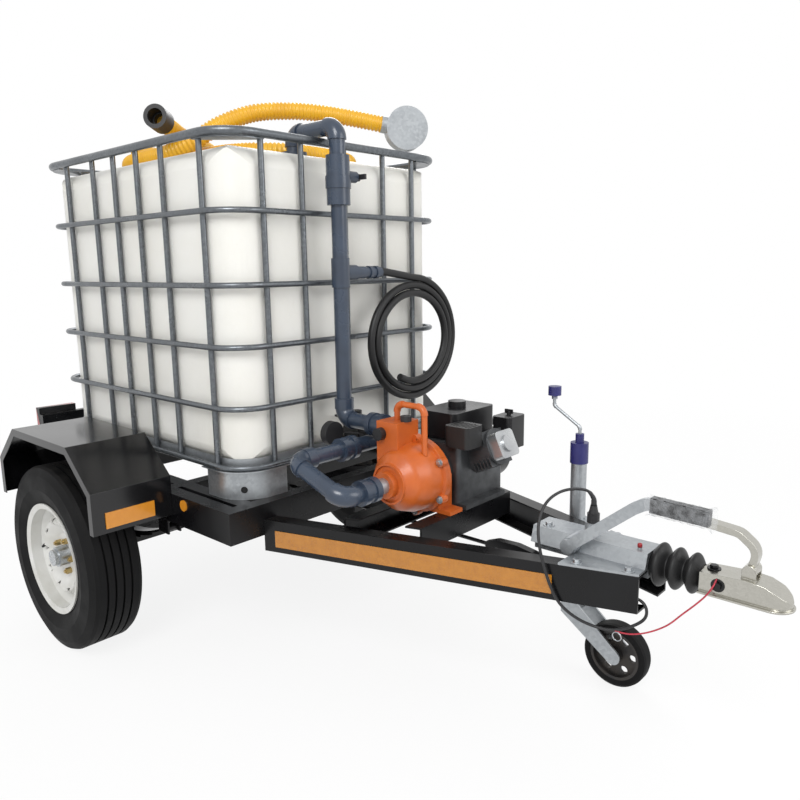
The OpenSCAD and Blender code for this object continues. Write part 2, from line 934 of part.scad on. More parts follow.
// Amber reflectors on the mudguards, the drawbars and the side rails
module reflectors() {
  color("#d08a1f") for (side = [-1, 1]) {
    on_side(side) {
      translate([axle_x + guard_front, reflector_in - guard_y, guard_low + reflector_rise])
        cube([reflector_t, reflector_w, reflector_h]);
      translate([marker_x, -frame_w / 2, deck_z - rail_h / 4]) to_right()
        cylinder(d = marker_d, h = reflector_t);
    }
    on_drawbar(side) translate([strip_in, -strip_t, strip_drop])
      cube([side < 0 ? strip_l : jockey_s - pad_l - strip_in, strip_t, strip_h]);
  }
}

// Pressed corner feet and the sheet tray
module pallet() {
  color("#a9adb0") {
    for (sx = [-1, 1], sy = [-1, 1]) {
      translate([tank_x, 0, deck_z]) mirror([sx > 0 ? 0 : 1, 0, 0]) mirror([0, sy > 0 ? 0 : 1, 0])
          corner_foot();
    }
    translate([tank_x, 0, foot_top]) difference() {
      round_block(tray_l, tray_w, tray_h, tank_corner);
      up(tray_t) round_block(tray_l - 2 * tray_t, tray_w - 2 * tray_t, tray_h, tank_corner - tray_t);
      up(outlet_z - foot_top) ahead() cylinder(r = valve_r + tray_gap, h = tray_l);
    }
  }
}

module corner_foot() {
  foot_l = cage_l - 2 * foot_in;
  foot_w2 = cage_w - 2 * foot_in;
  difference() {
    intersection() {
      union() {
        difference() {
          round_block(foot_l, foot_w2, foot_h, cage_r);
          up(-over)
            round_block(foot_l - 2 * foot_t, foot_w2 - 2 * foot_t, foot_h + 2 * over, cage_r - foot_t);
        }
        up(foot_h - foot_t) foot_ring(cage_l + tube_d, cage_w + tube_d);
        foot_ring(foot_l, foot_w2);
      }
      translate([cage_l / 2 - foot_reach, cage_w / 2 - foot_reach, 0]) cube([cage_l, cage_w, foot_h]);
    }
    translate([cage_l / 2 - foot_in - cage_r * (1 - sqrt(0.5)),
        cage_w / 2 - foot_in - cage_r * (1 - sqrt(0.5)),
      foot_h / 3]) rotate([90, 0, -45]) up(-foot_pad) cylinder(r = foot_hole_r,
          h = 2 * foot_pad);
  }
}

// Flat rim of the given outline
module foot_ring(l, w) {
  difference() {
    round_block(l, w, foot_t, cage_r);
    up(-over) round_block(l - 2 * foot_pad, w - 2 * foot_pad, foot_t + 2 * over, cage_r - foot_pad);
  }
}

// Welded tube cage round the tank
module cage() {
  color("#8d9296") translate([tank_x, 0, ring_z]) {
    for (i = [0 : len(ring_shares) - 1]) {
      translate([0, 0, ring_shares[i] * cage_h])
        tube_ring(cage_l, cage_w, cage_r, i == len(ring_shares) - 1 ? rail_d : tube_d);
    }
    for (s = side_shares, side = [-1, 1]) {
      translate([s * cage_l / 2, side * (cage_w / 2 - bar_step), 0]) cylinder(d = tube_d, h = cage_h);
    }
    for (i = [0 : len(end_shares) - 1], end = [-1, 1]) {
      low = (i == short_bar && end > 0) ? ring_shares[1] * cage_h : 0;
      translate([end * (cage_l / 2 - bar_step), end_shares[i] * cage_w / 2, low])
        cylinder(d = tube_d, h = cage_h - low);
    }
    for (sx = [-1, 1], sy = [-1, 1]) {
      translate([sx * cage_l / 2, sy * cage_w / 2, cage_h - rail_d / 2 - gusset_t]) gusset(sx, sy);
    }
  }
}

// Corner plate under the top rail
module gusset(sx, sy) {
  intersection() {
    linear_extrude(gusset_t + rail_d / 4) polygon([[0, -sy * gusset_l], [0, 0], [-sx * gusset_l, 0],
        [-sx * gusset_l, -sy * rail_d / 2], [-sx * rail_d / 2, -sy * gusset_l]]);
    translate([-sx * cage_l / 2, -sy * cage_w / 2, 0])
      round_block(cage_l, cage_w, gusset_t + rail_d / 4, cage_r);
  }
}

// Outer or inner form of the tank, rounded on every edge
module tank_form(inset) {
  l = tank_l - 2 * inset;
  w = tank_w - 2 * inset;
  h = tank_h - 2 * inset;
  intersection() {
    up(inset) round_block(l, w, h, tank_corner - inset);
    translate([0, w / 2 + over, h / 2 + inset]) to_right()
      linear_extrude(w + 2 * over) round_plate(l + over, h + over, tank_r);
    translate([-l / 2 - over, 0, h / 2 + inset]) rotate([90, 0, 90])
      linear_extrude(l + 2 * over) round_plate(w + over, h + over, tank_r);
  }
}

// Blow-moulded tank with filler neck and outlet
module tank() {
  color("#e9e9e4") difference() {
    union() {
      translate([tank_x, 0, tank_z]) tank_form(0);
      translate([tank_x, 0, tank_top - tank_wall]) cylinder(r = neck_r + neck_wall, h = neck_h + tank_wall);
    }
    translate([tank_x, 0, tank_z]) tank_form(tank_wall);
    translate([tank_x, 0, tank_top - 2 * tank_wall]) cylinder(r = neck_r, h = neck_h + 3 * tank_wall);
    translate([tank_front - 2 * tank_wall, 0, outlet_z]) ahead()
        cylinder(d = pipe_d - 2 * tank_wall, h = 3 * tank_wall);
  }
}

// Screw lid with a ribbed skirt
module tank_lid() {
  skirt_r = neck_r + neck_wall + free_gap;
  color("#1d1d20") translate([tank_x, 0, tank_top + free_gap]) {
    difference() {
      union() {
        cylinder(r = skirt_r + lid_wall, h = lid_h);
        around(lid_rib_count, skirt_r + lid_wall) cylinder(r = lid_rib_r, h = lid_h - lid_wall);
      }
      up(-over) cylinder(r = skirt_r, h = neck_h + over);
    }
  }
}

// Quarter-turn valve on the tank outlet
module outlet_valve() {
  color("#1b1b1e") translate([tank_front, 0, outlet_z]) ahead() {
    cylinder(r = spigot_r, h = valve_l + pipe_d);
    up(tray_gap) cylinder(r = valve_r, h = valve_l);
    up(valve_l / 2) rotate([0, -90, 0]) {
      cylinder(r = valve_lid_r, h = valve_r + stem_h);
      cylinder(r = stem_r, h = valve_r + 2 * stem_h);
    }
  }
}

module outlet_lever() {
  color("#22306e") translate([tank_front + valve_l / 2, 0, outlet_z + valve_r + stem_h + free_gap])
      difference() {
    union() {
      cylinder(r = lever_w * 0.9, h = stem_h);
      translate([-lever_w / 2, -lever_l, stem_h / 2]) cube([lever_w, lever_l, lever_t]);
    }
    bore(stem_r + run_gap, stem_h);
  }
}

// Route of the suction pipe from the outlet valve to the pump inlet
suction_start = tank_front + valve_l + pipe_d;
suction_path = [[suction_start, 0, outlet_z], [suction_x, 0, outlet_z], [suction_x, suction_y, outlet_z],
  [pump_x, suction_y, shaft_z], [pump_x, dome_front - inlet_l - pipe_d, shaft_z]];

module suction_pipe() {
  color("#2f3a4a") {
    bent_tube(suction_path, pipe_d, bend_r, socket_t);
    for (y = [socket_t - bend_r - socket_l, suction_y + bend_r - socket_t]) {
      translate([suction_x, y, outlet_z]) to_left() cylinder(d = pipe_d + 3 * socket_t, h = socket_l);
    }
  }
}

// Route of the delivery pipe from the pump up, over the rail and down to the tank top
delivery_path = [[pump_x + tower_x - tower_w / 2 - pipe_d, port_y, port_z], [riser_x, port_y, port_z],
  [riser_x, port_y, spout_z], [riser_x - spout_back, port_y, spout_z],
      [riser_x - spout_back, port_y, tank_top]];
tee_z = port_z + tee_rise;

module delivery_pipe() {
  color("#2f3a4a") {
    bent_tube(delivery_path, pipe_d, bend_r, socket_t);
    translate([riser_x, port_y, tee_z - tee_l / 2]) cylinder(d = pipe_d + 2 * socket_t, h = tee_l);
    translate([riser_x, port_y, tee_z]) to_left() cylinder(d = pipe_d, h = branch_y - port_y);
    translate([riser_x, port_y, port_z + bend_r - socket_t])
        cylinder(d = pipe_d + 3 * socket_t, h = socket_l);
    translate([riser_x - spout_back, port_y, tank_top]) cylinder(r = tank_nut_r, h = tank_nut_h);
  }
}

// Pipe union: a sleeve with two knurled ends on a pipe along Z
module union_sleeve() {
  difference() {
    union() {
      cylinder(r = union_r - socket_t, h = union_l);
      for (z = [0, union_l - 2 * union_lip]) {
        up(z) cylinder(r = union_r, h = 2 * union_lip);
      }
    }
    bore((pipe_d + 2 * run_gap) / 2, union_l);
  }
}

// Black unions of both lines and the hose tail with its clamps
module unions() {
  color("#1d1e22") {
    translate([suction_x, (suction_y - union_l) / 2, outlet_z]) to_left() union_sleeve();
    translate([pump_x, dome_front - inlet_l - pipe_d - 0.8 * union_l, shaft_z]) to_left() union_sleeve();
    translate([pump_x + tower_x - tower_w / 2 - pipe_d - 0.8 * union_l, port_y, port_z])
      ahead() union_sleeve();
    translate([riser_x, branch_y, tee_z]) to_left() {
      cylinder(r = tail_r, h = tail_l);
      cylinder(d = pipe_d - 2 * socket_t, h = tail_l / 3);
      for (z = [0.5, 0.75]) {
        up(tail_l * z) cylinder(r = clamp_r, h = clamp_l);
      }
    }
  }
}

// Galvanised nipples at the pump inlet and discharge
module nipples() {
  color("#b4b8ba") {
    translate([pump_x, dome_front - inlet_l, shaft_z]) to_right() cylinder(r = nipple_r, h = pipe_d);
    translate([pump_x + tower_x - tower_w / 2, port_y, port_z]) rotate([0, -90, 0])
        cylinder(r = nipple_r, h = pipe_d);
  }
}

// Ball valve high on the riser
module riser_valve() {
  color("#23252b") translate([riser_x, port_y, port_z + riser_valve_rise - riser_valve_l / 2])
      difference() {
    union() {
      cylinder(r = union_r, h = riser_valve_l);
      up(riser_valve_l / 3) cylinder(r = ball_r, h = riser_valve_l / 4);
      up(riser_valve_l * 0.6) to_left() {
        cylinder(r = gland_r, h = ball_r + gland_l);
        cylinder(r = stem_r, h = ball_r + gland_l + stem_h);
      }
    }
    bore((pipe_d + 2 * run_gap) / 2, riser_valve_l);
  }
}

module valve_handle() {
  color("#1d1e22") translate([riser_x, port_y + ball_r + gland_l + free_gap,
    port_z + riser_valve_rise + riser_valve_l * 0.1]) to_left() difference() {
    union() {
      cylinder(r = handle_w * 0.75, h = stem_h);
      translate([-handle_l / 2, -handle_w / 2, stem_h / 4]) cube([handle_l, handle_w, handle_t]);
    }
    bore(stem_r + run_gap, stem_h);
  }
}

// Frame of the pump shaft: Z towards the inlet
module on_pump(y) {
  translate([pump_x, y, shaft_z]) to_right() children();
}

// Domed volute casing with its discharge tower
module pump_dome() {
  color("#d9692f") difference() {
    union() {
      on_pump(joint_y) {
        rotate_extrude() polygon(concat([[0, 0]], [for (s = dome_shares) [s[0] * casing_r, s[1] * dome_l]],
          [[0, 0.93 * dome_l]]));
        cylinder(r = inlet_r, h = dome_l + inlet_l);
        up(0.8 * dome_l) difference() {
          cylinder(r = ring_r, h = 0.15 * dome_l);
          up(-over) cylinder(r = ring_r - ring_w, h = dome_l);
        }
        rotate([0, 0, 30]) around(lug_count, 1.08 * casing_r) cylinder(r = lug_r, h = lug_l);
      }
      translate([pump_x + tower_x - tower_w / 2, joint_y - tower_d, shaft_z])
        cube([tower_w, tower_d, tower_top]);
    }
    on_pump(joint_y + over) cylinder(r = volute_r, h = volute_l + over);
    on_pump(joint_y) cylinder(r = nipple_r / 2, h = 2 * dome_l);
  }
}

// Bracket that closes the casing, stands on the bearers and meets the engine
module pump_bracket() {
  reach = engine_y - joint_y;
  color("#b5541f") difference() {
    union() {
      on_pump(joint_y + bracket_t) cylinder(r = 1.1 * casing_r, h = bracket_t);
      on_pump(engine_y) cylinder(r = face_r, h = reach);
      translate([pump_x - bracket_w / 2, joint_y, bearer_top]) cube([bracket_w, reach, shaft_rise]);
      translate([pump_x - foot_w / 2, joint_y, bearer_top]) cube([foot_w, foot_d, bracket_t]);
    }
    on_pump(engine_y + over) cylinder(r = rotor_r + run_gap, h = reach + 2 * over);
  }
}

// Carrying handle bent from tube, from the tower over to the casing
module pump_handle() {
  top = shaft_z + tower_top + grip_rise;
  y = joint_y - tower_d / 2;
  color("#d9692f") difference() {
    bent_tube([[pump_x + tower_x, y, shaft_z + tower_top], [pump_x + tower_x, y, top],
      [pump_x + grip_out, y, top], [pump_x + grip_out, y, shaft_z + casing_r * 0.7]], handle_d, grip_bend,
          handle_d / 10);
    on_pump(joint_y) cylinder(r = casing_r, h = dome_l);
  }
}

// Filler plug, drain cap and the hanging dust cap with its strap
module pump_caps() {
  color("#17171a") {
    translate([pump_x + tower_x + plug_r + handle_d, joint_y - tower_d / 2, shaft_z + tower_top])
        cylinder(r = plug_r, h = plug_h);
    translate([pump_x + tower_x - tower_w / 4, joint_y - tower_d, port_z]) to_right()
      cylinder(r = side_cap_r, h = side_cap_l);
    translate([dust_x, dust_y, outlet_z + dust_drop]) ahead() cylinder(r = dust_r, h = dust_l);
    rod([dust_x + dust_l / 2, dust_y + dust_r - strap_d, outlet_z + dust_drop],
      [dust_x + dust_l / 2, -spigot_r - strap_d / 4, outlet_z], strap_d);
  }
}

// Closed-back impeller on the shaft
module impeller() {
  color("#8a8d90") {
    on_pump(engine_y + rotor_in)
        cylinder(r = rotor_r, h = engine_y + rotor_in - joint_y + impeller_l + blade_t);
    on_pump(joint_y - blade_t) {
      cylinder(r = impeller_r, h = blade_t);
      for (i = [0 : blade_count - 1]) {
        rotate([0, 0, i * 360 / blade_count]) translate([rotor_r - blade_t, -blade_t / 2, 0])
          cube([impeller_r - 2 * rotor_r, blade_t, impeller_l]);
      }
    }
  }
}

// Crankcase with mounting feet and the finned cylinder
module engine_block() {
  color("#3a3b3e") difference() {
    union() {
      translate([pump_x - base_w / 2, block_y, bearer_top]) cube([base_w, base_l, base_t]);
      translate([pump_x, block_y + block_l / 2, bearer_top + base_t / 2])
          round_block(block_w, block_l, block_h, cleaner_r);
      on_pump(block_y + over) cylinder(r = face_r, h = block_y - engine_y + over);
      on_cylinder() {
        cylinder(r = cyl_r, h = cyl_l + block_w / 2);
        for (i = [0 : fin_count - 1]) {
          up(block_w / 2 + (i + 1) * cyl_l / (fin_count + 1))
            translate([-fin_side / 2, -fin_side / 2, 0]) cube([fin_side, fin_side, fin_t]);
        }
      }
    }
    on_pump(engine_y + rotor_in + bracket_t)
        cylinder(r = rotor_r + run_gap, h = rotor_in + bracket_t + over);
    translate([pump_x - base_w, block_y - over, bearer_top - rail_h])
        cube([2 * base_w, 2 * base_l, rail_h]);
  }
}

// Frame of the inclined cylinder: Z from the shaft towards the valve cover
module on_cylinder() {
  translate([pump_x, block_y + cyl_y, shaft_z]) rotate([0, 90 - cyl_a, 0]) children();
}

module valve_cover() {
  color("#b9bcbc") on_cylinder() up(cyl_l + block_w / 2) {
    round_block(cover_h, cover_w, cover_t, silencer_r);
    up(cover_t) cylinder(r = disc_cap_r, h = disc_cap_t);
  }
}

// Fuel tank over the crankcase
module fuel_tank() {
  color("#17171a") translate([pump_x + fuel_x, block_y + fuel_y + fuel_l / 2, block_top]) {
    up(fuel_gap) round_block(fuel_w, fuel_l, fuel_h, fuel_r);
    round_block(fuel_w / 2, fuel_l / 2, fuel_gap, fuel_r);
    up(fuel_h + fuel_gap) cylinder(r = fuel_neck_r, h = fuel_neck_h);
  }
}

module fuel_cap() {
  color("#101012") translate([pump_x + fuel_x, block_y + fuel_y + fuel_l / 2,
      block_top + fuel_h + fuel_gap + free_gap])
    difference() {
      cylinder(r = fuel_cap_r, h = fuel_cap_h);
      up(-over) cylinder(r = fuel_neck_r + run_gap, h = fuel_neck_h + over);
    }
}

// Silencer with a slotted guard
module silencer() {
  color("#1f2022") translate([pump_x + silencer_x, block_y + silencer_y + silencer_w / 2, block_top])
      difference() {
    round_block(silencer_l, silencer_w, silencer_h, silencer_r);
    for (i = [0 : slot_count - 1]) {
      translate([silencer_l * ((i + 1) / (slot_count + 1) - 0.5), -silencer_w / 3, silencer_h - slot_depth])
        cube([slot_w, silencer_w / 1.5, 2 * slot_depth]);
    }
  }
}

// Air cleaner box with its wing nut
module air_cleaner() {
  color("#141416") translate([pump_x + (block_w + cleaner_l) / 2, block_y + cleaner_y + cleaner_w / 2,
      bearer_top + cleaner_z]) {
    round_block(cleaner_l, cleaner_w, cleaner_h, cleaner_r);
    up(cleaner_h) {
      cylinder(r = wing_r, h = wing_h);
      translate([-wing_w / 2, -wing_t / 2, wing_h / 3]) cube([wing_w, wing_t, wing_h]);
    }
  }
}

// Round recoil starter and fan cover on the far end
module recoil_cover() {
  y = block_y + block_l;
  color("#1a1a1c") translate([pump_x, y, shaft_z]) to_left() difference() {
    union() {
      cylinder(r = recoil_r, h = recoil_l * 0.7);
      up(recoil_l * 0.7) cylinder(r1 = recoil_r, r2 = recoil_r * 0.75, h = recoil_l * 0.3);
    }
    for (i = [0 : recoil_slot_count - 1]) {
      rotate([0, 0, i * 360 / recoil_slot_count])
          translate([recoil_r * 0.3, -recoil_slot_w / 2, recoil_l - slot_depth])
        cube([recoil_r * 0.38, recoil_slot_w, 2 * slot_depth]);
    }
  }
}

module starter_grip() {
  y = block_y + block_l + recoil_l / 2;
  color("#101012") translate([pump_x, y, shaft_z + recoil_r + free_gap]) {
    translate([-grip_l / 2, -grip_w / 2, grip_t / 2]) cube([grip_l, grip_w, grip_t]);
    cylinder(r = grip_t / 3, h = grip_t);
  }
}

// Galvanised overrun housing bolted across the drawbars
module coupling_housing() {
  l = housing_front - housing_x;
  top = drawbar_top + housing_h;
  color("#a4a8ab") difference() {
    union() {
      translate([housing_x, 0, 0]) rotate([90, 0, 90]) linear_extrude(l)
        polygon([[-housing_low_w / 2, drawbar_top], [housing_low_w / 2, drawbar_top],
          [housing_top_w / 2, top], [-housing_top_w / 2, top]]);
      translate([housing_x, -keel_w / 2, drawbar_top - keel_drop]) cube([l, keel_w, keel_drop]);
      flange_plate();
      translate([pivot_x, lever_y - lever_bar_w / 2 - free_gap, drawbar_top + pivot_rise]) to_left()
        cylinder(r = pivot_r, h = -lever_y);
      translate([pivot_x, lever_y + lever_bar_w / 2 + free_gap, drawbar_top + pivot_rise]) to_left()
        cylinder(r = boss_r, h = -lever_y - lever_bar_w);
      translate([park_x, park_y, top]) cylinder(r = plug_body_r + free_gap + park_wall, h = park_h);
      translate([indicator_x, -housing_top_w / 4, top]) cylinder(r = indicator_r, h = indicator_h);
    }
    translate([housing_x - over, 0, draw_z]) ahead() cylinder(r = shaft_r + run_gap, h = l + 2 * over);
    translate([park_x, park_y, top + over]) cylinder(r = plug_body_r + free_gap, h = park_h);
  }
}

// Wings of the housing that lie on the drawbars
module flange_plate() {
  difference() {
    translate([flange_x, -frame_w / 2, drawbar_top])
        cube([housing_front - flange_x, frame_w, flange_plate_t]);
    for (side = [-1, 1]) {
      on_drawbar(side) translate([-rail_w, -frame_w, -rail_h])
          cube([drawbar_l + 2 * rail_w, frame_w, 3 * rail_h]);
    }
  }
}

// Draw shaft with the pressed ball coupling head
module coupling_head() {
  base = draw_z - head_h / 2;
  head_l = nose_x - head_back;
  color("#b3ad9c") difference() {
    union() {
      translate([housing_front - shaft_in, 0, draw_z]) ahead()
        cylinder(r = shaft_r, h = head_back - housing_front + shaft_in + shaft_r);
      intersection() {
        translate([head_back, head_w, base]) to_right() linear_extrude(2 * head_w)
          polygon([for (s = head_shares) [s[0] * head_l, s[1] * head_h]]);
        up(base) linear_extrude(head_h) head_plan(head_w, head_lip_t);
      }
      up(base) linear_extrude(head_lip_t) head_plan(head_lip_w, 0);
      for (side = [-1, 1]) {
        translate([handle_x, side * (handle_bar_w / 2 + free_gap + ear_t / 2), draw_z + handle_rise])
          to_right() head_ear();
      }
      translate([handle_x, -handle_bar_w / 2 - ear_t, draw_z + handle_rise]) to_left()
        cylinder(r = pin_r, h = handle_bar_w + 2 * ear_t);
    }
    translate([cup_x, 0, base - over]) cylinder(r = socket_r, h = head_bore_h + over);
    translate([cup_x, 0, base + head_bore_h]) sphere(r = socket_r);
  }
}

// Plan of the head: straight sides and a round nose set back from the tip
module head_plan(w, back) {
  translate([head_back, -w / 2]) square([nose_x - back - w / 2 - head_back, w]);
  translate([nose_x - back - w / 2, 0]) circle(d = w);
}

// Ear that carries the handle pin
module head_ear() {
  up(-ear_t / 2) {
    cylinder(r = handle_eye_r, h = ear_t);
    translate([-handle_eye_r, head_h / 4 - handle_rise, 0])
        cube([2 * handle_eye_r, handle_rise - head_h / 4, ear_t]);
  }
}

// Curved release handle over the head
module head_handle() {
  color("#a7a294") translate([handle_x, 0, draw_z + handle_rise]) difference() {
    union() {
      translate([0, handle_bar_w / 2, 0]) to_right() cylinder(r = handle_eye_r, h = handle_bar_w);
      bent_bar([for (s = handle_shares) [s[0] * handle_reach, s[1] * handle_lift]],
        handle_bar_t, handle_bar_w, handle_bend);
    }
    translate([0, handle_bar_w, 0]) to_right() cylinder(r = pin_r + run_gap, h = 2 * handle_bar_w);
  }
}

// Parking brake lever on the side of the housing
module handbrake_lever() {
  color("#9b9fa1") translate([pivot_x, lever_y, drawbar_top + pivot_rise]) difference() {
    union() {
      translate([0, lever_bar_w / 2, 0]) to_right() cylinder(r = lever_eye_r, h = lever_bar_w);
      bent_bar(lever_path, lever_bar_h, lever_bar_w, lever_bend);
    }
    translate([0, lever_bar_w, 0]) to_right() cylinder(r = pivot_r + run_gap, h = 2 * lever_bar_w);
  }
}

// Moulded sleeve on the lever's end
module handbrake_grip() {
  end = lever_path[3];
  v = end - lever_path[2];
  color("#1b1b1d") translate([pivot_x + end.x, lever_y, drawbar_top + pivot_rise + end.y])
    rotate([0, -atan2(v.y, v.x), 0]) difference() {
      translate([-sleeve_l + sleeve_t * 2, -lever_bar_w / 2 - sleeve_t, -lever_bar_h / 2 - sleeve_t])
        cube([sleeve_l, lever_bar_w + 2 * sleeve_t, lever_bar_h + 2 * sleeve_t]);
      translate([-sleeve_l - lever_bar_h, -lever_bar_w / 2, -lever_bar_h / 2])
        cube([sleeve_l + lever_bar_h, lever_bar_w, lever_bar_h]);
    }
}

// Brake rod along the frame with its curved relay arm at the front
module brake_rod() {
  color("#55585b") {
    translate([brake_rear_x, 0, brake_z]) ahead()
        cylinder(d = brake_d, h = brake_front_x - brake_rear_x);
    translate([brake_rear_x - clevis_l, -clevis_w / 2, brake_z - clevis_w / 2])
      cube([clevis_l + brake_d, clevis_w, clevis_w]);
    translate([brake_front_x, brake_arm_y, brake_z]) {
      bent_bar([for (s = brake_arm_shares) [s[0] * brake_arm_l, s[1] * brake_arm_h]],
        brake_arm_t, brake_arm_w, brake_arm_bend);
      to_left() cylinder(d = 0.7 * brake_arm_t, h = brake_d - brake_arm_y);
    }
  }
}

// Thin rubber bellows over the draw shaft, ending in a collar
module bellows() {
  step = (bellows_l - collar_l) / bellows_folds;
  outer = concat([for (i = [0 : bellows_folds - 1], f = fold_shares)
      [bellows_r - f[1] * bellows_depth, (i + f[0]) * step]],
    [[bellows_neck_r, bellows_l - collar_l], [bellows_neck_r, bellows_l]]);
  inner = [for (p = outer) [max(p.x - bellows_wall, shaft_r + 2 * free_gap), p.y]];
  color("#1a1a1b") translate([drawbar_front_x, 0, draw_z]) ahead()
    rotate_extrude() polygon(concat(outer, reversed(inner)));
}

// Clamp ring on the left drawbar with its tee screw
module jockey_clamp() {
  z = drawbar_z + clamp_rise;
  hub = 3 * tee_bar_r;
  color("#a4a8ab") difference() {
    union() {
      on_jockey(z) cylinder(r = clamp_ring_r, h = clamp_h);
      on_drawbar(1) translate([jockey_s - pad_l / 2, jockey_r / 4 - jockey_off, clamp_rise + pad_t])
          cube([pad_l, jockey_off - jockey_r / 4, clamp_h - 2 * pad_t]);
      on_drawbar(1) translate([jockey_s, clamp_wall / 2 - clamp_ring_r - jockey_off,
          clamp_rise + clamp_h / 2]) {
        translate([-bolt_boss_w / 2, -bolt_boss_w - clamp_wall / 2, -bolt_boss_l / 2])
          cube([bolt_boss_w, bolt_boss_w + clamp_wall / 2, bolt_boss_l]);
        to_right() cylinder(r = bolt_r, h = bolt_boss_l + clamp_wall / 2);
        translate([-hub / 2, -bolt_boss_l - clamp_wall / 2 - hub / 2, -hub / 2]) cube(hub);
        translate([-tee_bar_l / 2, -bolt_boss_l - clamp_wall / 2, 0]) ahead()
            cylinder(r = tee_bar_r, h = tee_bar_l);
      }
    }
    on_jockey(z) bore(jockey_r + run_gap, clamp_h);
  }
}

module on_jockey(z) {
  translate([jockey_x, jockey_y, z]) children();
}

module jockey_tube() {
  color("#a0a4a7") on_jockey(jockey_low) difference() {
    cylinder(r = jockey_r, h = jockey_top - jockey_low);
    bore(inner_r + run_gap, jockey_top - jockey_low);
  }
}

// Moulded cap that carries the crank
module jockey_cap() {
  color("#23225a") on_jockey(jockey_top) difference() {
    union() {
      cylinder(r = jcap_r, h = jcap_h);
      up(jcap_h) cylinder(r = collar_r, h = collar_h);
    }
    bore(crank_r + run_gap, jcap_h + collar_h);
  }
}

// Crank with its lifting screw and knob
module jockey_crank() {
  z = jockey_top + jcap_h;
  screw_z = inner_high - screw_r;
  color("#7d8083") on_jockey(z) {
    bent_tube(concat([[0, 0, jockey_top - z - screw_r]], crank_path), 2 * crank_r, crank_bend, crank_r / 5);
    up(screw_z - z) cylinder(r = screw_r, h = jockey_top - screw_z - free_gap);
    translate(crank_path[2] - [0, 0, crank_r]) {
      cylinder(r = crank_stem_r, h = crank_stem_h);
      up(crank_stem_h / 2) cylinder(r = knob_r, h = knob_h);
    }
  }
}

module jockey_inner() {
  color("#9a9ea1") on_jockey(inner_low) difference() {
    cylinder(r = inner_r, h = inner_high - inner_low - free_gap);
    up(-over) cylinder(r = spindle_r + run_gap, h = spindle_l + over);
    up(inner_high - inner_low - nut_depth) cylinder(r = screw_r + free_gap, h = nut_depth);
  }
}

// Swivel fork that trails the wheel
module jockey_fork() {
  half = jockey_wheel_w / 2 + fork_gap;
  color("#9a9ea1") {
    on_jockey(inner_low - crown_t - free_gap) {
      translate([-crown_w / 2, -half - fork_t, 0]) cube([crown_w, 2 * half + 2 * fork_t, crown_t]);
      cylinder(r = spindle_r, h = crown_t + spindle_l);
    }
    for (side = [-1, 1]) {
      on_jockey(0) translate([0, side * (half + fork_t / 2) + fork_t / 2, 0]) to_right()
          linear_extrude(fork_t) {
        polygon([[-crown_w / 2, inner_low - free_gap], [crown_w / 2, inner_low - free_gap],
          [jockey_trail + fork_end_r * 0.7, jockey_wheel_r + fork_end_r * 0.7],
          [jockey_trail - fork_end_r * 0.7, jockey_wheel_r - fork_end_r * 0.7],
          [-crown_w / 2, inner_low - 1.5 * crown_t]]);
        translate([jockey_trail, jockey_wheel_r]) circle(fork_end_r);
      }
    }
    on_jockey(jockey_wheel_r) translate([jockey_trail, -half - fork_t, 0]) to_left()
      cylinder(r = jaxle_r, h = 2 * (half + fork_t));
  }
}

// Frame of the jockey wheel: Z along its axle, middle at 0
module on_jockey_wheel() {
  on_jockey(jockey_wheel_r) translate([jockey_trail, 0, 0]) to_left() children();
}

module jockey_wheel() {
  color("#2a2b2d") on_jockey_wheel() difference() {
    union() {
      difference() {
        up(-jockey_wheel_w * 0.4) cylinder(r = jockey_wheel_r - jtyre_t, h = jockey_wheel_w * 0.8);
        for (s = [-1, 1]) {
          up(s > 0 ? jrim_web / 2 : -jockey_wheel_w / 2 - jrim_web / 2)
            cylinder(r = jockey_wheel_r - jtyre_t * 1.4, h = jockey_wheel_w / 2);
        }
      }
      up(-jockey_wheel_w / 2) cylinder(r = jhub_r, h = jockey_wheel_w);
    }
    up(-jockey_wheel_w) cylinder(r = jaxle_r + run_gap, h = 2 * jockey_wheel_w);
    around(jhole_count, jspoke_ring) up(-jrim_web) cylinder(r = jhole_r, h = 2 * jrim_web);
  }
}

module jockey_tyre() {
  w = jockey_wheel_w;
  color("#1c1c1d") on_jockey_wheel() rotate_extrude()
    polygon([[jockey_wheel_r - jtyre_t + run_gap, -w * 0.4], [jockey_wheel_r - jtyre_t * 0.4, -w / 2],
        [jockey_wheel_r - jtyre_t * 0.1, -w * 0.42],
      [jockey_wheel_r, -w * 0.25], [jockey_wheel_r, w * 0.25], [jockey_wheel_r - jtyre_t * 0.1, w * 0.42],
      [jockey_wheel_r - jtyre_t * 0.4, w / 2], [jockey_wheel_r - jtyre_t + run_gap, w * 0.4]]);
}

// Tyre section from bead to tread
function tyre_section(inset) = [for (s = tread_shares)
  [rim_r + run_gap + s[0] * (tyre_r - rim_r - run_gap - inset), s[1] * tyre_w - inset]];

module tyre(side) {
  outer = tyre_section(0);
  inner = tyre_section(carcass_t);
  color("#1a1a1b") on_wheel(side) difference() {
    rotate_extrude() difference() {
      polygon(concat(outer, reversed([for (p = outer) [p.x, -p.y]])));
      polygon(concat([[rim_r - over, inner[0].y]], inner, reversed([for (p = inner) [p.x, -p.y]]),
          [[rim_r - over, -inner[0].y]]));
    }
    for (s = groove_shares) {
      rotate_extrude() translate([tyre_r - groove_d, s * tyre_w - groove_w / 2])
          square([2 * groove_d, groove_w]);
    }
  }
}

module tyre_right() {
  tyre(-1);
}

module tyre_left() {
  tyre(1);
}

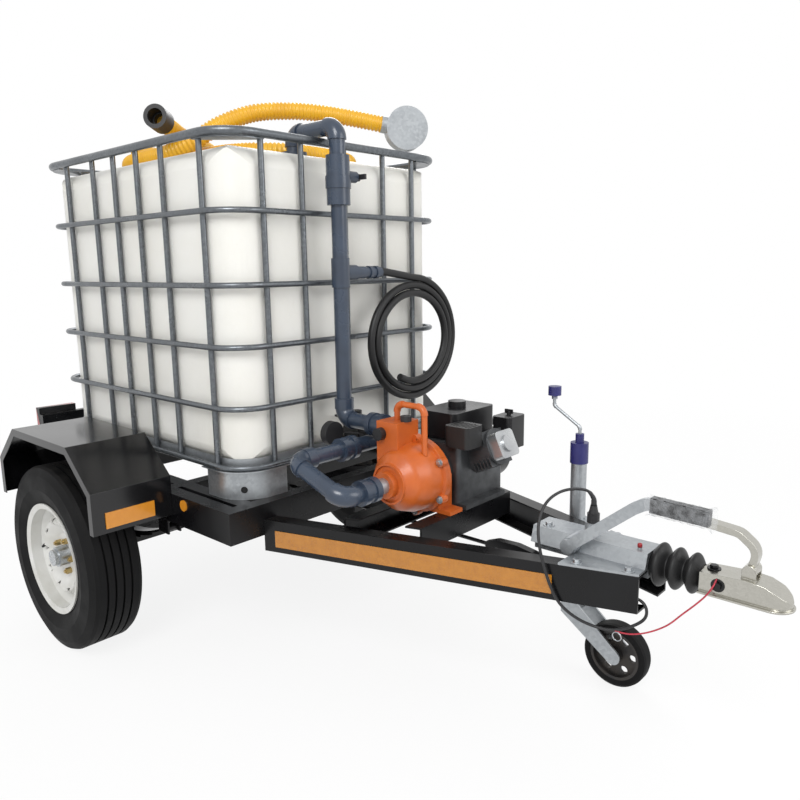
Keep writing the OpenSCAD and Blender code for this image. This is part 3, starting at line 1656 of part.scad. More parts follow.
// Dished steel wheel with triangular windows
module rim(side) {
  well_r = rim_r - well_depth - rim_wall;
  color("#e6e7e8") on_wheel(side) difference() {
    rotate_extrude() polygon([[rim_r + flange_h, flange_out], [rim_r + flange_h, flange_out - flange_t],
      [rim_r, flange_out - flange_t - rim_wall], [rim_r, flange_out / 2],
          [rim_r - well_depth, flange_out / 4],
      [rim_r - well_depth, -flange_out / 4], [rim_r, -flange_out / 2],
          [rim_r, flange_t + rim_wall - flange_out],
      [rim_r + flange_h, flange_t - flange_out], [rim_r + flange_h, -flange_out],
      [rim_r - rim_wall, rim_wall - flange_out], [rim_r - rim_wall, -flange_out / 2],
      [well_r, -flange_out / 4], [well_r, flange_out / 4 - disc_t], [window_ring, disc_out + disc_dish],
      [nut_ring + 2 * nut_r, disc_out], [hub_r + run_gap, disc_out], [hub_r + run_gap, disc_out + disc_t],
      [nut_ring + 2 * nut_r - disc_t, disc_out + disc_t], [window_ring, disc_out + disc_dish + disc_t],
      [well_r, flange_out / 4], [rim_r - rim_wall, flange_out / 2],
          [rim_r - rim_wall, flange_out - rim_wall]]);
    for (i = [0 : window_count - 1]) {
      rotate([0, 0, i * 360 / window_count]) translate([window_ring, 0, 0]) rotate([0, 0, 180 * (i % 2)])
        cylinder(r = window_r, h = flange_out, $fn = 3);
    }
    around(nut_count, nut_ring) cylinder(r = nut_r / 2 + run_gap, h = flange_out);
  }
}

module rim_right() {
  rim(-1);
}

module rim_left() {
  rim(1);
}

// Brake drum and hub with its studs and nuts
module hub(side) {
  color("#8f9294") on_wheel(side) difference() {
    union() {
      up(disc_out - drum_l) cylinder(r = drum_r, h = drum_l);
      cylinder(r = hub_r, h = disc_out + hub_out);
      up(disc_out + hub_out) cylinder(r = hub_r * 0.8, h = cap_h);
      around(nut_count, nut_ring) {
        cylinder(r = nut_r / 2, h = disc_out + disc_t + nut_h + nut_r / 2);
        up(disc_out + disc_t) cylinder(r = nut_r, h = nut_h, $fn = 6);
      }
    }
    up(disc_out - drum_l - over) cylinder(r = stub_r + run_gap, h = drum_l + 2 * over);
  }
}

module hub_right() {
  hub(-1);
}

module hub_left() {
  hub(1);
}

// Smooth curve through a list of points, n steps for each stretch
function curve_point(p, i, t) =
  let (a = p[max(i - 1, 0)], b = p[i], c = p[min(i + 1, len(p) - 1)], d = p[min(i + 2, len(p) - 1)])
  0.5 * (2 * b + (c - a) * t + (2 * a - 5 * b + 4 * c - d) * t * t + (3 * b - a - 3 * c + d) * t * t * t);
function curve(p, n) = concat([for (i = [0 : len(p) - 2], k = [0 : n - 1]) curve_point(p, i, k / n)],
    [p[len(p) - 1]]);

function directions(p) = [for (i = [0 : len(p) - 1]) unit(p[min(i + 1, len(p) - 1)] - p[max(i - 1, 0)])];

// Side vectors carried along a route without twist
function sides_along(t) = [for (i = 0, u = cross(t[0], [0.1, 0.2, 1]); i < len(t); i = i + 1,
  u = i < len(t) ? unit(u - (u * t[i]) * t[i]) : u) u];

// Ring of points about each point of a route, with its own radius
function rings(p, radii, n) =
  let (t = directions(p), u = sides_along(t))
  [for (i = [0 : len(p) - 1]) let (v = unit(u[i] - (u[i] * t[i]) * t[i]), w = cross(t[i], v))
    for (k = [0 : n - 1]) p[i] + radii[i] * (v * cos(360 * k / n) + w * sin(360 * k / n))];

// Triangles between neighbouring rings, turned inside out for a bore
function ring_faces(count, n, first, inward) = [for (i = [0 : count - 2], k = [0 : n - 1])
  let (a = first + i * n + k, b = first + i * n + (k + 1) % n, c = a + n, d = b + n)
  each (inward ? [[a, c, b], [b, c, d]] : [[a, b, c], [b, d, c]])];

// Solid round cord along a route
module cord(p, d, n) {
  count = len(p);
  polyhedron(concat(rings(p, [for (q = p) d / 2], n), [p[0], p[count - 1]]),
    concat(ring_faces(count, n, 0, false),
      [for (k = [0 : n - 1]) [count * n, (k + 1) % n, k]],
      [for (k = [0 : n - 1]) [count * n + 1, (count - 1) * n + k, (count - 1) * n + (k + 1) % n]]));
}

// Ribbed hose with its bore
module suction_hose() {
  p = curve(hose_route, hose_samples);
  count = len(p);
  n = hose_sides;
  bore = [for (i = [0 : hose_bore_step : count - 1]) p[i]];
  first = count * n;
  last = first + (len(bore) - 1) * n;
  outer = [for (i = [0 : count - 1]) hose_d / 2 - (i % 2) * hose_rib];
  color("#e5b41f") polyhedron(
    concat(rings(p, outer, n), rings(bore, [for (q = bore) hose_bore], n)),
    concat(ring_faces(count, n, 0, false), ring_faces(len(bore), n, first, true),
      [for (k = [0 : n - 1]) each [[k, first + k, (k + 1) % n],
          [(k + 1) % n, first + k, first + (k + 1) % n]]],
      [for (k = [0 : n - 1]) let (e = (count - 1) * n, m = (k + 1) % n) each [[e + k, e + m, last + k],
          [e + m, last + m, last + k]]]));
}

// Cam coupler on the hose's inner end
module hose_coupler() {
  end = hose_route[len(hose_route) - 1];
  u = unit(end - hose_route[len(hose_route) - 2]);
  color("#1b1b1d") translate(end) rotate([0, acos(u.z), atan2(u.y, u.x)]) difference() {
    cylinder(r = coupler_r, h = coupler_l);
    up(-over) cylinder(r = hose_bore, h = coupler_l);
    up(coupler_l / 3) cylinder(r = coupler_bore, h = coupler_l);
  }
}

// Strainer drum, side on to the hose's outer end
module strainer() {
  color("#c4c8ca") translate(hose_route[0]) rotate([0, 0, strainer_turn]) rotate([0, strainer_dip, 0]) {
    ahead() up(strainer_seat) cylinder(d = hose_d, h = spigot_l + strainer_r / 2);
    translate([spigot_l + strainer_r, 0, 0]) to_right()
      up(-strainer_l / 2) cylinder(r = strainer_r, h = strainer_l);
  }
}

// Loops of the delivery hose, drawn in turn by turn
function coil_point(a) = [riser_x + coil_pitch * a / 360,
  coil_cy + (coil_wide - coil_shrink * a / 360) * sin(a),
  coil_cz + (coil_tall - coil_shrink * a / 360) * cos(a)];
coil_start = [riser_x, branch_y + tail_l, tee_z];
coil_route = concat([coil_start, coil_start + [0, coil_d, 0]],
  [for (i = [0 : coil_rings * coil_turns]) coil_point(i * 360 / coil_rings)]);
coil_gap = min([for (i = [0 : len(coil_route) - 1], j = [0 : len(coil_route) - 1])
  if (j > i + coil_rings / 2) norm(coil_route[i] - coil_route[j])]) - coil_d;
echo(coil_gap = coil_gap);

module hose_coil() {
  color("#19191b") cord(coil_route, coil_d, coil_sides);
}

module electric_lead() {
  color("#151517") cord(curve(lead_points, 3), lead_d, 8);
}

// Plug parked in its holder on the coupling housing
module plug() {
  color("#141416") translate([park_x, park_y, drawbar_top + housing_h + over + free_gap]) {
    cylinder(r = plug_body_r, h = plug_l);
    up(plug_l) cylinder(r1 = plug_body_r * 0.8, r2 = plug_neck_r, h = plug_neck_l);
  }
}

module breakaway_cable() {
  color("#c0394a") cord(curve(breakaway_points, 3), breakaway_d, 8);
}

chassis_rails();
drawbars();
axle();
mudguard_right();
mudguard_left();
tail_lamps();
reflectors();
pallet();
cage();
tank();
tank_lid();
outlet_valve();
outlet_lever();
suction_pipe();
delivery_pipe();
unions();
nipples();
riser_valve();
valve_handle();
pump_dome();
pump_bracket();
pump_handle();
pump_caps();
impeller();
engine_block();
valve_cover();
fuel_tank();
fuel_cap();
silencer();
air_cleaner();
recoil_cover();
starter_grip();
coupling_housing();
coupling_head();
head_handle();
handbrake_lever();
handbrake_grip();
brake_rod();
bellows();
jockey_clamp();
jockey_tube();
jockey_cap();
jockey_crank();
jockey_inner();
jockey_fork();
jockey_wheel();
jockey_tyre();
tyre_right();
rim_right();
hub_right();
tyre_left();
rim_left();
hub_left();
suction_hose();
hose_coupler();
strainer();
hose_coil();
electric_lead();
plug();
breakaway_cable();
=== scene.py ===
import math

import bmesh
import bpy
from mathutils import Matrix, Vector


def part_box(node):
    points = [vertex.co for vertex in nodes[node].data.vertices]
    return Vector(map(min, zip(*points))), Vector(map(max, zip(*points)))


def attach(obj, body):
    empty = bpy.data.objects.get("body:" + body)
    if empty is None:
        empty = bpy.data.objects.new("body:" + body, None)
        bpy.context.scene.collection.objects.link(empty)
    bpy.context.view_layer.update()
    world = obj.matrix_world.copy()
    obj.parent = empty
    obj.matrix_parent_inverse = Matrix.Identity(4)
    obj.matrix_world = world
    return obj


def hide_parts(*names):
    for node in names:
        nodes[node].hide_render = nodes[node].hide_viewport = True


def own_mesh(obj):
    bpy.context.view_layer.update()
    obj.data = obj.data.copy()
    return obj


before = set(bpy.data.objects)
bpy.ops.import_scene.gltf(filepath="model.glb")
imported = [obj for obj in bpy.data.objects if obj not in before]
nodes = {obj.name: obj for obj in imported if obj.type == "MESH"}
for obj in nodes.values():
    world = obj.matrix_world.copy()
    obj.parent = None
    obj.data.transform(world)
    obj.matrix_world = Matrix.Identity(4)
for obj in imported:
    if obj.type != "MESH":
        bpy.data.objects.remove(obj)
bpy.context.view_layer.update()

# Studio: a plain pale floor, a white surround and soft lamps, with the camera
# off the front right corner, a little above the middle of the tank.
view = bpy.context.scene.view_settings
view.view_transform = "Standard"
camera_data = bpy.data.cameras.new("camera")
camera_data.sensor_width = 36.0
camera_data.lens = 32.37
camera = bpy.data.objects.new("camera", camera_data)
bpy.context.collection.objects.link(camera)
azimuth, pitch, roll = math.radians(42.0), math.radians(10.5), math.radians(-0.78)
looking = Vector((-math.sin(azimuth) * math.cos(pitch),
                  math.cos(azimuth) * math.cos(pitch), -math.sin(pitch)))
turn = looking.to_track_quat("-Z", "Y").to_matrix() @ Matrix.Rotation(roll, 3, "Z")
camera_place = (1.711, -1.719, 1.282)
camera.matrix_world = Matrix.Translation(camera_place) @ turn.to_4x4()
bpy.context.scene.camera = camera


def seen_mask(tree):
    """Where a ray comes straight from the camera, a mirror or a clear piece."""
    path = tree.nodes.new("ShaderNodeLightPath")
    total = None
    for output in ("Is Camera Ray", "Is Glossy Ray", "Is Transmission Ray"):
        if total is None:
            total = path.outputs[output]
            continue
        joined = tree.nodes.new("ShaderNodeMath")
        joined.operation = "MAXIMUM"
        tree.links.new(total, joined.inputs[0])
        tree.links.new(path.outputs[output], joined.inputs[1])
        total = joined.outputs[0]
    return total


surround = bpy.data.worlds.new("surround")
bpy.context.scene.world = surround
surround.use_nodes = True
tree = surround.node_tree
backdrop = tree.nodes["Background"]
backdrop.inputs["Color"].default_value = (1.0, 1.0, 1.0, 1.0)
strength = tree.nodes.new("ShaderNodeMapRange")
strength.inputs["To Min"].default_value = 0.62
strength.inputs["To Max"].default_value = 1.0
tree.links.new(seen_mask(tree), strength.inputs["Value"])
tree.links.new(strength.outputs["Result"], backdrop.inputs["Strength"])

floor_mesh = bpy.data.meshes.new("floor")
floor_mesh.from_pydata([(-30, -30, 0), (30, -30, 0), (30, 30, 0), (-30, 30, 0)], [], [(0, 1, 2, 3)])
floor = bpy.data.objects.new("floor", floor_mesh)
bpy.context.collection.objects.link(floor)
floor_finish = bpy.data.materials.new("pale_floor")
floor_finish.use_nodes = True
tree = floor_finish.node_tree
matt = tree.nodes["Principled BSDF"]
matt.inputs["Base Color"].default_value = (0.9, 0.9, 0.9, 1.0)
matt.inputs["Roughness"].default_value = 0.9
glow = tree.nodes.new("ShaderNodeEmission")
glow.inputs["Color"].default_value = (1.0, 1.0, 1.0, 1.0)
away = tree.nodes.new("ShaderNodeVectorMath")
away.operation = "LENGTH"
tree.links.new(tree.nodes.new("ShaderNodeTexCoord").outputs["Object"], away.inputs[0])
fade = tree.nodes.new("ShaderNodeMapRange")
fade.inputs["From Min"].default_value = 1.6
fade.inputs["From Max"].default_value = 5.0
fade.inputs["To Min"].default_value = 0.86
tree.links.new(away.outputs["Value"], fade.inputs["Value"])
share = tree.nodes.new("ShaderNodeMath")
share.operation = "MULTIPLY"
tree.links.new(seen_mask(tree), share.inputs[0])
tree.links.new(fade.outputs["Result"], share.inputs[1])
mixed = tree.nodes.new("ShaderNodeMixShader")
tree.links.new(share.outputs[0], mixed.inputs[0])
tree.links.new(matt.outputs["BSDF"], mixed.inputs[1])
tree.links.new(glow.outputs["Emission"], mixed.inputs[2])
tree.links.new(mixed.outputs["Shader"], tree.nodes["Material Output"].inputs["Surface"])
floor_mesh.materials.append(floor_finish)

for name, place, size, watts in (("key", (2.4, -4.2, 4.6), 3.0, 210.0),
                                 ("fill", (4.6, 1.2, 3.0), 3.0, 70.0),
                                 ("rear", (-3.6, 3.6, 4.2), 3.0, 90.0)):
    lamp = bpy.data.lights.new(name, "AREA")
    lamp.shape = "DISK"
    lamp.size = size
    lamp.energy = watts
    stand = bpy.data.objects.new(name, lamp)
    stand.location = place
    stand.rotation_euler = (Vector((0, 0, 0.7)) - Vector(place)).to_track_quat("-Z", "Y").to_euler()
    bpy.context.collection.objects.link(stand)


# Chassis: a ring of pressed steel channel with the drawbar, axle beam and lamp
# bar, all welded up and sprayed gloss black, with road dust on what faces up.
def group_sockets(name, inputs, outputs):
    group = bpy.data.node_groups.new(name, "ShaderNodeTree")
    for label, value in inputs:
        socket = group.interface.new_socket(label, in_out="INPUT", socket_type="NodeSocketFloat")
        socket.default_value = value
    for label in outputs:
        group.interface.new_socket(label, in_out="OUTPUT", socket_type="NodeSocketFloat")
    return group, group.nodes.new("NodeGroupInput"), group.nodes.new("NodeGroupOutput")


def noise_in(group, scale, detail, vector):
    noise = group.nodes.new("ShaderNodeTexNoise")
    noise.inputs["Detail"].default_value = detail
    group.links.new(vector, noise.inputs["Vector"])
    group.links.new(scale, noise.inputs["Scale"])
    return noise.outputs["Fac"]


def ranged(tree, value, low, high, to_low=0.0, to_high=1.0):
    node = tree.nodes.new("ShaderNodeMapRange")
    for label, number in (("From Min", low), ("From Max", high), ("To Min", to_low), ("To Max", to_high)):
        node.inputs[label].default_value = number
    tree.links.new(value, node.inputs["Value"])
    return node.outputs["Result"]


breakup, ends_in, ends_out = group_sockets(
    "surface breakup", [("Blotch Scale", 6.0), ("Grain Scale", 400.0)], ["Tone", "Grain", "Dust"])
coords = breakup.nodes.new("ShaderNodeTexCoord").outputs["Object"]
tone = ranged(breakup, noise_in(breakup, ends_in.outputs["Blotch Scale"], 6.0, coords), 0.34, 0.66)
breakup.links.new(tone, ends_out.inputs["Tone"])
breakup.links.new(noise_in(breakup, ends_in.outputs["Grain Scale"], 3.0, coords), ends_out.inputs["Grain"])
facing = breakup.nodes.new("ShaderNodeSeparateXYZ")
breakup.links.new(breakup.nodes.new("ShaderNodeNewGeometry").outputs["Normal"], facing.inputs[0])
lying = breakup.nodes.new("ShaderNodeMath")
lying.operation = "MULTIPLY"
breakup.links.new(ranged(breakup, facing.outputs["Z"], 0.3, 1.0), lying.inputs[0])
breakup.links.new(tone, lying.inputs[1])
breakup.links.new(lying.outputs[0], ends_out.inputs["Dust"])


def linear(code):
    """A colour written as six hex digits, as Blender's linear numbers."""
    parts = [int(code[i:i + 2], 16) / 255 for i in (0, 2, 4)]
    return tuple(p / 12.92 if p <= 0.04045 else ((p + 0.055) / 1.055) ** 2.4 for p in parts) + (1.0,)


def colour_mix(tree, mask, first, second):
    mix = tree.nodes.new("ShaderNodeMix")
    mix.data_type = "RGBA"
    tree.links.new(mask, mix.inputs["Factor"])
    for socket, colour in ((mix.inputs[6], first), (mix.inputs[7], second)):
        if isinstance(colour, str):
            socket.default_value = linear(colour)
        else:
            tree.links.new(colour, socket)
    return mix.outputs[2]


def worked_finish(name, colour, worn, rough, blotch=6.0, grain=500.0, bump=0.1, depth=0.0004,
                  metallic=0.0, coat=0.0, dust=None, shine=0.5):
    """A finish whose colour, gloss and grain change over the surface."""
    finish = bpy.data.materials.new(name)
    finish.use_nodes = True
    tree = finish.node_tree
    shader = tree.nodes["Principled BSDF"]
    shader.inputs["Metallic"].default_value = metallic
    shader.inputs["Specular IOR Level"].default_value = shine
    if coat:
        shader.inputs["Coat Weight"].default_value = coat
        shader.inputs["Coat Roughness"].default_value = 0.08
    variation = tree.nodes.new("ShaderNodeGroup")
    variation.node_tree = breakup
    variation.inputs["Blotch Scale"].default_value = blotch
    variation.inputs["Grain Scale"].default_value = grain
    base = colour_mix(tree, variation.outputs["Tone"], colour, worn)
    if dust:
        base = colour_mix(tree, ranged(tree, variation.outputs["Dust"], 0.0, 1.0, 0.0, 0.35), base, dust)
    tree.links.new(base, shader.inputs["Base Color"])
    tree.links.new(ranged(tree, variation.outputs["Tone"], 0.0, 1.0, *rough), shader.inputs["Roughness"])
    ridges = tree.nodes.new("ShaderNodeBump")
    ridges.inputs["Strength"].default_value = bump
    ridges.inputs["Distance"].default_value = depth
    tree.links.new(variation.outputs["Grain"], ridges.inputs["Height"])
    tree.links.new(ridges.outputs["Normal"], shader.inputs["Normal"])
    return finish


def dress(finish, *names):
    for name in names:
        mesh = nodes[name].data
        mesh.materials.clear()
        mesh.materials.append(finish)


def soften(name, width, angle=38.0):
    """Take the knife edge off a solid's corners and shade its round faces as one."""
    piece = nodes[name]
    mesh = piece.data
    split = mesh.attributes.get("custom_normal")
    if split:
        mesh.attributes.remove(split)
    for edge in mesh.edges:
        edge.use_edge_sharp = False
    for face in mesh.polygons:
        face.use_smooth = True
    joined = piece.modifiers.new("joined", "WELD")
    joined.merge_threshold = 0.00001
    corner = piece.modifiers.new("corner", "BEVEL")
    corner.limit_method = "ANGLE"
    corner.angle_limit = math.radians(angle)
    corner.width = width
    corner.segments = 2
    corner.use_clamp_overlap = False
    corner.harden_normals = True


gloss_black = worked_finish("gloss_black", "08080a", "0f0f11", rough=(0.22, 0.34), blotch=7.0,
                            grain=260.0, bump=0.05, dust="2a2826", shine=0.32)
dress(gloss_black, "chassis_rails", "drawbars", "axle")
steel_corner = 0.0012
for name in ("chassis_rails", "drawbars"):
    soften(name, steel_corner)

# Mudguards: folded sheet steel, lipped along the outer edge and sprayed with
# the chassis, so the flat tops mirror the sky a little.
guard_black = worked_finish("guard_black", "08080a", "0e0e10", rough=(0.1, 0.2), blotch=5.0,
                            grain=200.0, bump=0.03, dust="2a2826", shine=0.55)
dress(guard_black, "mudguard_right", "mudguard_left")
fold_corner = 0.0008
for name in ("mudguard_right", "mudguard_left"):
    soften(name, fold_corner)

# Rear lamps: red moulded lenses over black plastic bases, bolted on the back of
# the lamp bar, one at each end.
red_lens = worked_finish("red_lens", "8e1014", "a81a1c", rough=(0.12, 0.2), blotch=30.0, grain=320.0,
                         bump=0.25, coat=0.5)
lamp_case = worked_finish("lamp_case", "151517", "202022", rough=(0.4, 0.55), blotch=20.0, grain=600.0,
                          bump=0.15)


def dress_faces(name, finish, other, chosen):
    """One finish on the faces that are chosen by centre and direction, another on the rest."""
    dress(other, name)
    mesh = nodes[name].data
    mesh.materials.append(finish)
    for face in mesh.polygons:
        face.material_index = 1 if chosen(face.center, face.normal) else 0


lens_depth = 0.012
lens_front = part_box("tail_lamps")[0].x + lens_depth
dress_faces("tail_lamps", red_lens, lamp_case, lambda centre, facing: centre.x < lens_front)

# Reflectors: amber moulded strips and side markers with a prism pattern
# behind a clear face, stuck to the guards, frame and drawbar.
amber = worked_finish("amber", "cb8420", "c67f1e", rough=(0.16, 0.26), blotch=60.0, grain=520.0,
                      bump=0.4, coat=0.5)
brown_amber = worked_finish("brown_amber", "b5761f", "ab6d1b", rough=(0.2, 0.3), blotch=60.0,
                            grain=520.0, bump=0.4, coat=0.5)
drawbar_start_x = 0.2
dress_faces("reflectors", brown_amber, amber, lambda centre, facing: centre.x > drawbar_start_x)

# Tyres and rims: ribbed rubber tyres on pressed steel rims, sprayed white, with painted
# shade and brake dust as one dark finish on everything behind the disc.
tyre_rubber = worked_finish("tyre_rubber", "09090a", "101011", rough=(0.6, 0.75), blotch=14.0,
                            grain=700.0, bump=0.25, dust="2b2926", shine=0.18)
dress(tyre_rubber, "tyre_right", "tyre_left")
white_paint = worked_finish("white_paint", "d9d9d6", "c6c5bf", rough=(0.3, 0.45), blotch=9.0,
                            grain=350.0, bump=0.08, coat=0.2)
# Dark brown-grey, partly brake dust and partly painted shade inside the rim behind the disc.
brake_dust_and_shade = worked_finish("brake_dust_and_shade", "3a3733", "2b2926", rough=(0.7, 0.85), blotch=25.0,
                           grain=500.0, bump=0.3)
wheel_x, wheel_z = -0.725, 0.32
disc_back_y, disc_radius = 0.738, 0.14


def from_axle(centre):
    """How far a point of a road wheel is from the wheel's own axis."""
    return math.hypot(centre.x - wheel_x, centre.z - wheel_z)


# Faces behind the disc, and inward faces near the axle, take the dark finish: brake dust and painted
# shade.
def takes_dust_and_shade(centre, facing):
    faces_inwards = facing.y * centre.y < 0
    return abs(centre.y) < disc_back_y or (faces_inwards and from_axle(centre) < disc_radius)


for name in ("rim_right", "rim_left"):
    dress_faces(name, brake_dust_and_shade, white_paint, takes_dust_and_shade)

# Hubs: cast iron drums, bright zinc plate on what stands in front of the disc,
# and gold passivated studs and nuts that hold the rims on.
spangle, ends_in, ends_out = group_sockets("zinc spangle", [("Crystal Scale", 90.0)], ["Crystal", "Frost"])
coords = spangle.nodes.new("ShaderNodeTexCoord").outputs["Object"]
cells = spangle.nodes.new("ShaderNodeTexVoronoi")
spangle.links.new(coords, cells.inputs["Vector"])
spangle.links.new(ends_in.outputs["Crystal Scale"], cells.inputs["Scale"])
flat = spangle.nodes.new("ShaderNodeSeparateColor")
spangle.links.new(cells.outputs["Color"], flat.inputs[0])
spangle.links.new(flat.outputs[0], ends_out.inputs["Crystal"])
frost = spangle.nodes.new("ShaderNodeTexNoise")
frost.inputs["Scale"].default_value = 9.0
frost.inputs["Detail"].default_value = 5.0
spangle.links.new(coords, frost.inputs["Vector"])
spangle.links.new(ranged(spangle, frost.outputs["Fac"], 0.35, 0.65), ends_out.inputs["Frost"])


def zinc_finish(name, pale, dark, dull, crystal, rough, metallic):
    """Zinc with crystals of two greys under a dull bloom."""
    finish = bpy.data.materials.new(name)
    finish.use_nodes = True
    tree = finish.node_tree
    shader = tree.nodes["Principled BSDF"]
    shader.inputs["Metallic"].default_value = metallic
    crystals = tree.nodes.new("ShaderNodeGroup")
    crystals.node_tree = spangle
    crystals.inputs["Crystal Scale"].default_value = crystal
    grey = colour_mix(tree, crystals.outputs["Crystal"], dark, pale)
    bloom = colour_mix(tree, ranged(tree, crystals.outputs["Frost"], 0.0, 1.0, 0.1, 0.7), grey, dull)
    tree.links.new(bloom, shader.inputs["Base Color"])
    tree.links.new(ranged(tree, crystals.outputs["Frost"], 0.0, 1.0, *rough), shader.inputs["Roughness"])
    return finish


zinc_bright = zinc_finish("zinc_bright", "c3c6c8", "9da1a5", "adb1b4", crystal=220.0,
                          rough=(0.25, 0.38), metallic=0.9)
nut_gold = zinc_finish("nut_gold", "c2ab78", "a8925f", "b39d6b", crystal=220.0, rough=(0.25, 0.38),
                       metallic=0.9)
hub_iron = worked_finish("hub_iron", "2c2c2e", "47423d", rough=(0.45, 0.7), blotch=18.0, grain=260.0,
                         bump=0.3, metallic=0.4)
plated_from_y, nuts_from, nuts_to = 0.7455, 0.043, 0.069
for name in ("hub_right", "hub_left"):
    dress_faces(name, zinc_bright, hub_iron, lambda centre, facing: abs(centre.y) > plated_from_y)
    hub_mesh = nodes[name].data
    hub_mesh.materials.append(nut_gold)
    for face in hub_mesh.polygons:
        if face.material_index == 1 and nuts_from < from_axle(face.center) < nuts_to:
            face.material_index = 2


# Tyre valves: short moulded rubber stems with screw caps, pulled through the
# rims and leaning outwards and in towards the axle.
def turned(name, profile, sides, place):
    """A closed shape turned about the X axis from (x, radius) points."""
    mesh = bpy.data.meshes.new(name)
    shape = bmesh.new()
    rings = []
    for x, radius in profile:
        rings.append([shape.verts.new((x, radius * math.cos(2 * math.pi * k / sides),
                                       radius * math.sin(2 * math.pi * k / sides))) for k in range(sides)])
    for a, b in zip(rings, rings[1:]):
        for k in range(sides):
            shape.faces.new((a[k], a[k - 1], b[k - 1], b[k]))
    shape.faces.new(rings[0])
    shape.faces.new(rings[-1][::-1])
    bmesh.ops.recalc_face_normals(shape, faces=shape.faces)
    for face in shape.faces:
        face.smooth = len(face.verts) == 4
    shape.to_mesh(mesh)
    shape.free()
    piece = bpy.data.objects.new(name, mesh)
    piece.location = place
    bpy.context.collection.objects.link(piece)
    return piece


valve_rubber = worked_finish("valve_rubber", "141415", "1e1e1f", rough=(0.45, 0.6), blotch=60.0,
                             grain=900.0, bump=0.15)
stem_profile = [(-0.004, 0.0085), (0.002, 0.0085), (0.004, 0.0066), (0.02, 0.0058), (0.022, 0.0046),
                (0.033, 0.0046), (0.0338, 0.003)]
stem_from_axle, stem_y = 0.16, 0.7476
for side, body, out in (("right", "wheel_right", -1), ("left", "wheel_left", 1)):
    stem_seat = (wheel_x - stem_from_axle, stem_y * out, wheel_z)
    stem = turned("valve_stem_" + side, stem_profile, 20, stem_seat)
    leaning = Vector((0.69, 0.72 * out, 0))
    stem.rotation_euler = Vector((1, 0, 0)).rotation_difference(leaning).to_euler()
    stem.data.materials.append(valve_rubber)
    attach(stem, body)

# Tank cage: steel tube and sheet, welded up and dipped in zinc, which sets in
# pale and dark crystals over the whole surface.
cage_zinc = zinc_finish("cage_zinc", "767a7e", "5e6266", "686c70", crystal=140.0, rough=(0.26, 0.4),
                        metallic=0.85)
dress(cage_zinc, "cage")
galvanised = zinc_finish("galvanised", "b3b7ba", "9da1a5", "a6aaad", crystal=110.0, rough=(0.32, 0.48),
                         metallic=0.8)
dress(galvanised, "pallet")

# Tank: one blow-moulded shell of milky polythene with a filler neck, and a
# black screw lid. Light soaks into it, so its shadows stay soft.
tank_plastic = worked_finish("tank_plastic", "ebeae3", "e3e1d8", rough=(0.34, 0.46), blotch=2.6,
                             grain=60.0, bump=0.12, depth=0.004)
shader = tank_plastic.node_tree.nodes["Principled BSDF"]
shader.inputs["Subsurface Weight"].default_value = 0.35
shader.inputs["Subsurface Radius"].default_value = (0.05, 0.05, 0.045)
shader.inputs["Subsurface Scale"].default_value = 0.5
dress(tank_plastic, "tank")
black_plastic = worked_finish("black_plastic", "1a1a1c", "252527", rough=(0.4, 0.55), blotch=12.0,
                              grain=620.0, bump=0.2)
dress(black_plastic, "tank_lid", "outlet_valve", "outlet_lever")

# Pipework: dark blue-grey pressure pipe, cemented into its sockets and unions,
# with ball valves worked by short levers.
pvc = worked_finish("pvc", "333f50", "2a3443", rough=(0.24, 0.36), blotch=10.0, grain=300.0, bump=0.07,
                    coat=0.25)
dress(pvc, "suction_pipe", "delivery_pipe", "unions", "riser_valve")
dress(black_plastic, "valve_handle", "pump_caps")
dress(galvanised, "nipples")

# Pump: cast alloy casing, bracket and carrying handle sprayed orange, with
# the bare alloy impeller inside.
orange_paint = worked_finish("orange_paint", "c46022", "b6561d", rough=(0.32, 0.46), blotch=16.0,
                             grain=340.0, bump=0.3, coat=0.1)
dress(orange_paint, "pump_dome", "pump_bracket", "pump_handle")
casting_corner = 0.0006
soften("pump_dome", casting_corner)


def hex_heads(name, seats, across, body, finish):
    """Hexagon bolt heads on their washers, one at each (seat, direction)."""
    shape = bmesh.new()
    for seat, direction in seats:
        turn = Vector((0, 0, 1)).rotation_difference(Vector(direction)).to_matrix().to_4x4()
        place = Matrix.Translation(seat) @ turn
        washer = bmesh.ops.create_cone(shape, cap_ends=True, segments=24, radius1=across * 0.95,
                                       radius2=across * 0.95, depth=across * 0.12,
                                       matrix=place @ Matrix.Translation((0, 0, across * 0.06)))
        head = bmesh.ops.create_cone(shape, cap_ends=True, segments=6, radius1=across * 0.577,
                                     radius2=across * 0.577, depth=across * 0.44,
                                     matrix=place @ Matrix.Translation((0, 0, across * 0.34)))
        rims = {e for v in washer["verts"] + head["verts"] for e in v.link_edges
                if len(e.link_faces) == 2 and any(len(f.verts) > 4 for f in e.link_faces)}
        bmesh.ops.bevel(shape, geom=list(rims), offset=across * 0.04, segments=2, profile=0.6,
                        affect="EDGES")
    mesh = bpy.data.meshes.new(name)
    shape.to_mesh(mesh)
    shape.free()
    mesh.materials.append(finish)
    piece = bpy.data.objects.new(name, mesh)
    bpy.context.collection.objects.link(piece)
    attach(piece, body)


casing_face, casing_bolt_ring, casing_bolt = Vector((0.325, -0.119, 0.655)), 0.1134, 0.013
casing_seats = []
for degrees in (30, 150, 210, 270, 330):
    round_casing = math.radians(degrees)
    outwards = Vector((math.cos(round_casing), 0.0, math.sin(round_casing)))
    casing_seats.append((casing_face + casing_bolt_ring * outwards, (0, -1, 0)))
hex_heads("casing_bolts", casing_seats, casing_bolt, "chassis", zinc_bright)
impeller_alloy = worked_finish("engine_alloy", "9b9d9e", "85878a", rough=(0.34, 0.5), blotch=14.0,
                               grain=420.0, bump=0.3, metallic=0.85)
dress(impeller_alloy, "impeller")

